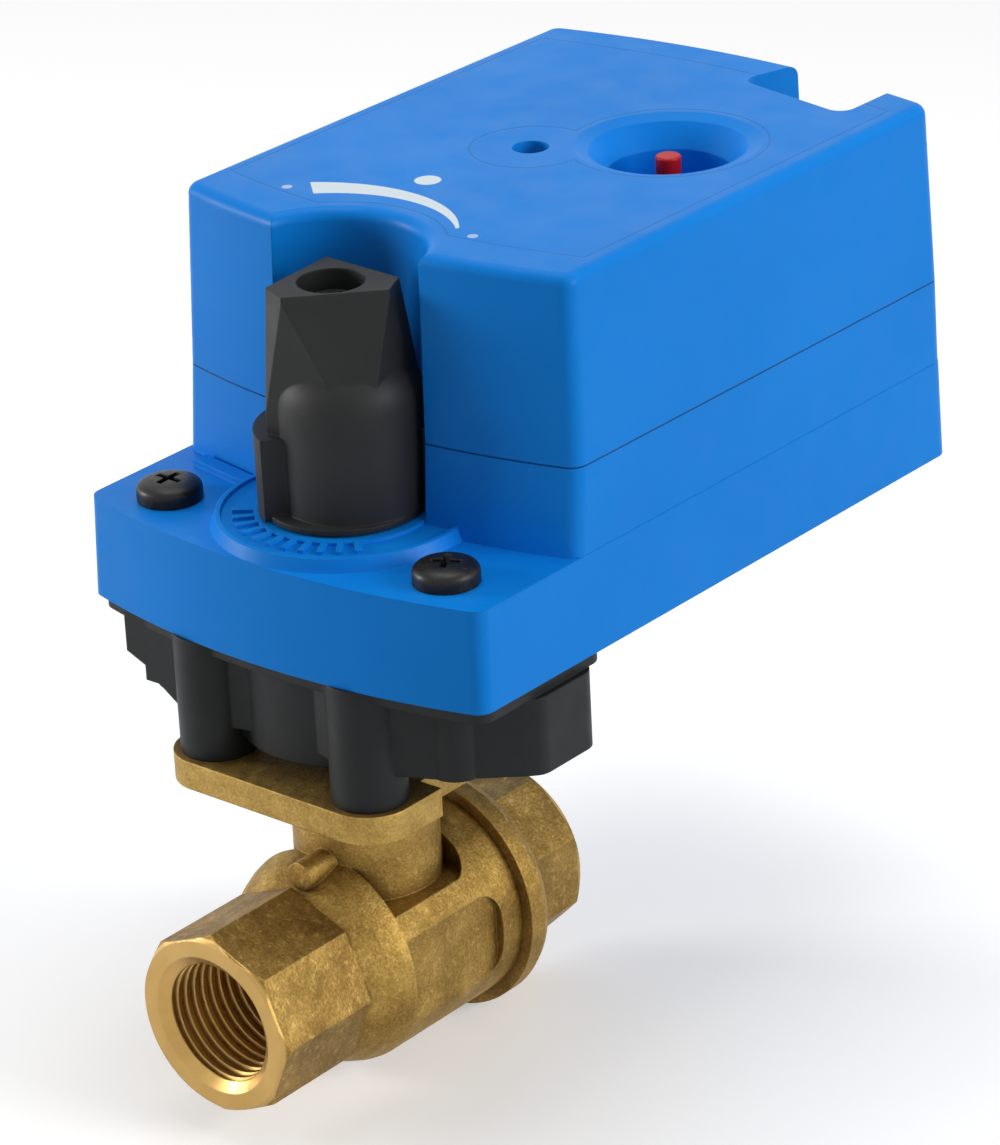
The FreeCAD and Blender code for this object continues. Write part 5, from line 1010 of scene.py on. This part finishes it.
def domed_screw(name, x, y):
    """Screw with a domed cross head and a plain shank."""
    start_piece()
    bpy.ops.mesh.primitive_cylinder_add(vertices=SCREW_SIDES, radius=SCREW_HEAD, depth=SCREW_RIM,
                                        location=(x, y, SCREW_SEAT + SCREW_RIM / 2))
    screw = bpy.context.object
    screw.name = name
    settle(screw)
    bpy.ops.object.mode_set(mode="EDIT")
    select_faces(screw, lambda place, normal: normal.z > FACING)
    radius, height = SCREW_HEAD, 0.0
    for step in range(1, DOME_STEPS + 1):
        angle = math.radians(DOME_END) * step / DOME_STEPS
        new_radius = SCREW_HEAD * math.cos(angle) ** (2 / DOME_FULLNESS)
        new_height = SCREW_DOME * math.sin(angle) ** (2 / DOME_FULLNESS)
        rise = (0, 0, new_height - height)
        bpy.ops.mesh.extrude_region_move(TRANSFORM_OT_translate={"value": rise})
        shrink = new_radius / radius
        bpy.ops.transform.resize(value=(shrink, shrink, 1))
        radius, height = new_radius, new_height
    select_faces(screw, lambda place, normal: normal.z < -FACING)
    bpy.ops.mesh.inset(thickness=SCREW_HEAD - SCREW_SHANK)
    bpy.ops.mesh.extrude_region_move(TRANSFORM_OT_translate={"value": (0, 0, SCREW_END - SCREW_SEAT)})
    bpy.ops.object.mode_set(mode="OBJECT")

    punch = cross_punch(x, y, SCREW_SEAT + SCREW_RIM + SCREW_DOME)
    cut = screw.modifiers.new("cross", "BOOLEAN")
    cut.operation = "DIFFERENCE"
    cut.solver = "EXACT"
    cut.object = punch
    start_piece()
    screw.select_set(True)
    bpy.context.view_layer.objects.active = screw
    bpy.ops.object.modifier_apply(modifier="cross")
    bpy.ops.object.shade_smooth_by_angle(angle=HEAD_SMOOTH)
    bpy.data.objects.remove(punch)
    screw.data.materials.append(BLACK_STEEL)
    return screw


left_screw = domed_screw("domed_screw_left", -SCREW_X, SCREW_Y)
left_place = Vector((-SCREW_X, SCREW_Y, 0))
right_place = Vector((SCREW_X, SCREW_Y, 0))
right_screw = twin(left_screw, "domed_screw_right", SECOND_TURN, left_place, right_place)
for screw in (left_screw, right_screw):
    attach(screw, "valve_and_housing")
    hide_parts("flange_screws")
print("screw faces:", len(left_screw.data.polygons))

# %% [markdown]
# Under the clutch bush sits a small coil spring, which lifts the button again and shortens when it goes
# down. A coil could be drawn as a curve with a round bevel. Here the wire's outline is swept round the
# shaft by the Screw modifier instead, because it takes the turns and the rise as plain numbers. Its open
# ends are filled, and the coil takes the place and width of the CAD spring; like it, the coil can't shorten.

# %% Clutch spring
WIRE_RADIUS = 0.25 * MM
SPRING_TURNS = 3
SPRING_STEPS = 32
WIRE_SIDES = 12
SAME_POINT = 0.001 * MM
WIRE_SMOOTH = math.radians(50)


def coil_spring(name, low, high):
    """Closed coil that fills the space between two corners."""
    start_piece()
    coil_radius = (high.x - low.x) / 2 - WIRE_RADIUS
    bpy.ops.mesh.primitive_circle_add(vertices=WIRE_SIDES, radius=WIRE_RADIUS, fill_type="NOTHING",
                                      location=(coil_radius, 0, 0), rotation=(math.radians(90), 0, 0))
    spring = bpy.context.object
    spring.name = name
    settle(spring)
    sweep = spring.modifiers.new("turns", "SCREW")
    sweep.axis = "Z"
    sweep.angle = 2 * math.pi
    sweep.screw_offset = (high.z - low.z - 2 * WIRE_RADIUS) / SPRING_TURNS
    sweep.iterations = SPRING_TURNS
    sweep.steps = SPRING_STEPS
    sweep.render_steps = SPRING_STEPS
    bpy.ops.object.modifier_apply(modifier="turns")
    bpy.ops.object.mode_set(mode="EDIT")
    bpy.ops.mesh.select_all(action="SELECT")
    bpy.ops.mesh.remove_doubles(threshold=SAME_POINT)
    bpy.ops.mesh.fill_holes(sides=0)
    bpy.ops.mesh.select_all(action="SELECT")
    bpy.ops.mesh.normals_make_consistent(inside=False)
    bpy.ops.object.mode_set(mode="OBJECT")
    spring.location = ((low.x + high.x) / 2, (low.y + high.y) / 2, low.z + WIRE_RADIUS)
    settle(spring)
    bpy.ops.object.shade_smooth_by_angle(angle=WIRE_SMOOTH)
    spring.data.materials.append(SPRING_STEEL)
    return spring


spring_low, spring_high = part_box("clutch_spring")
spring = coil_spring("coil_spring", spring_low, spring_high)
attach(spring, "valve_and_housing")
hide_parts("clutch_spring")
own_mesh(spring)
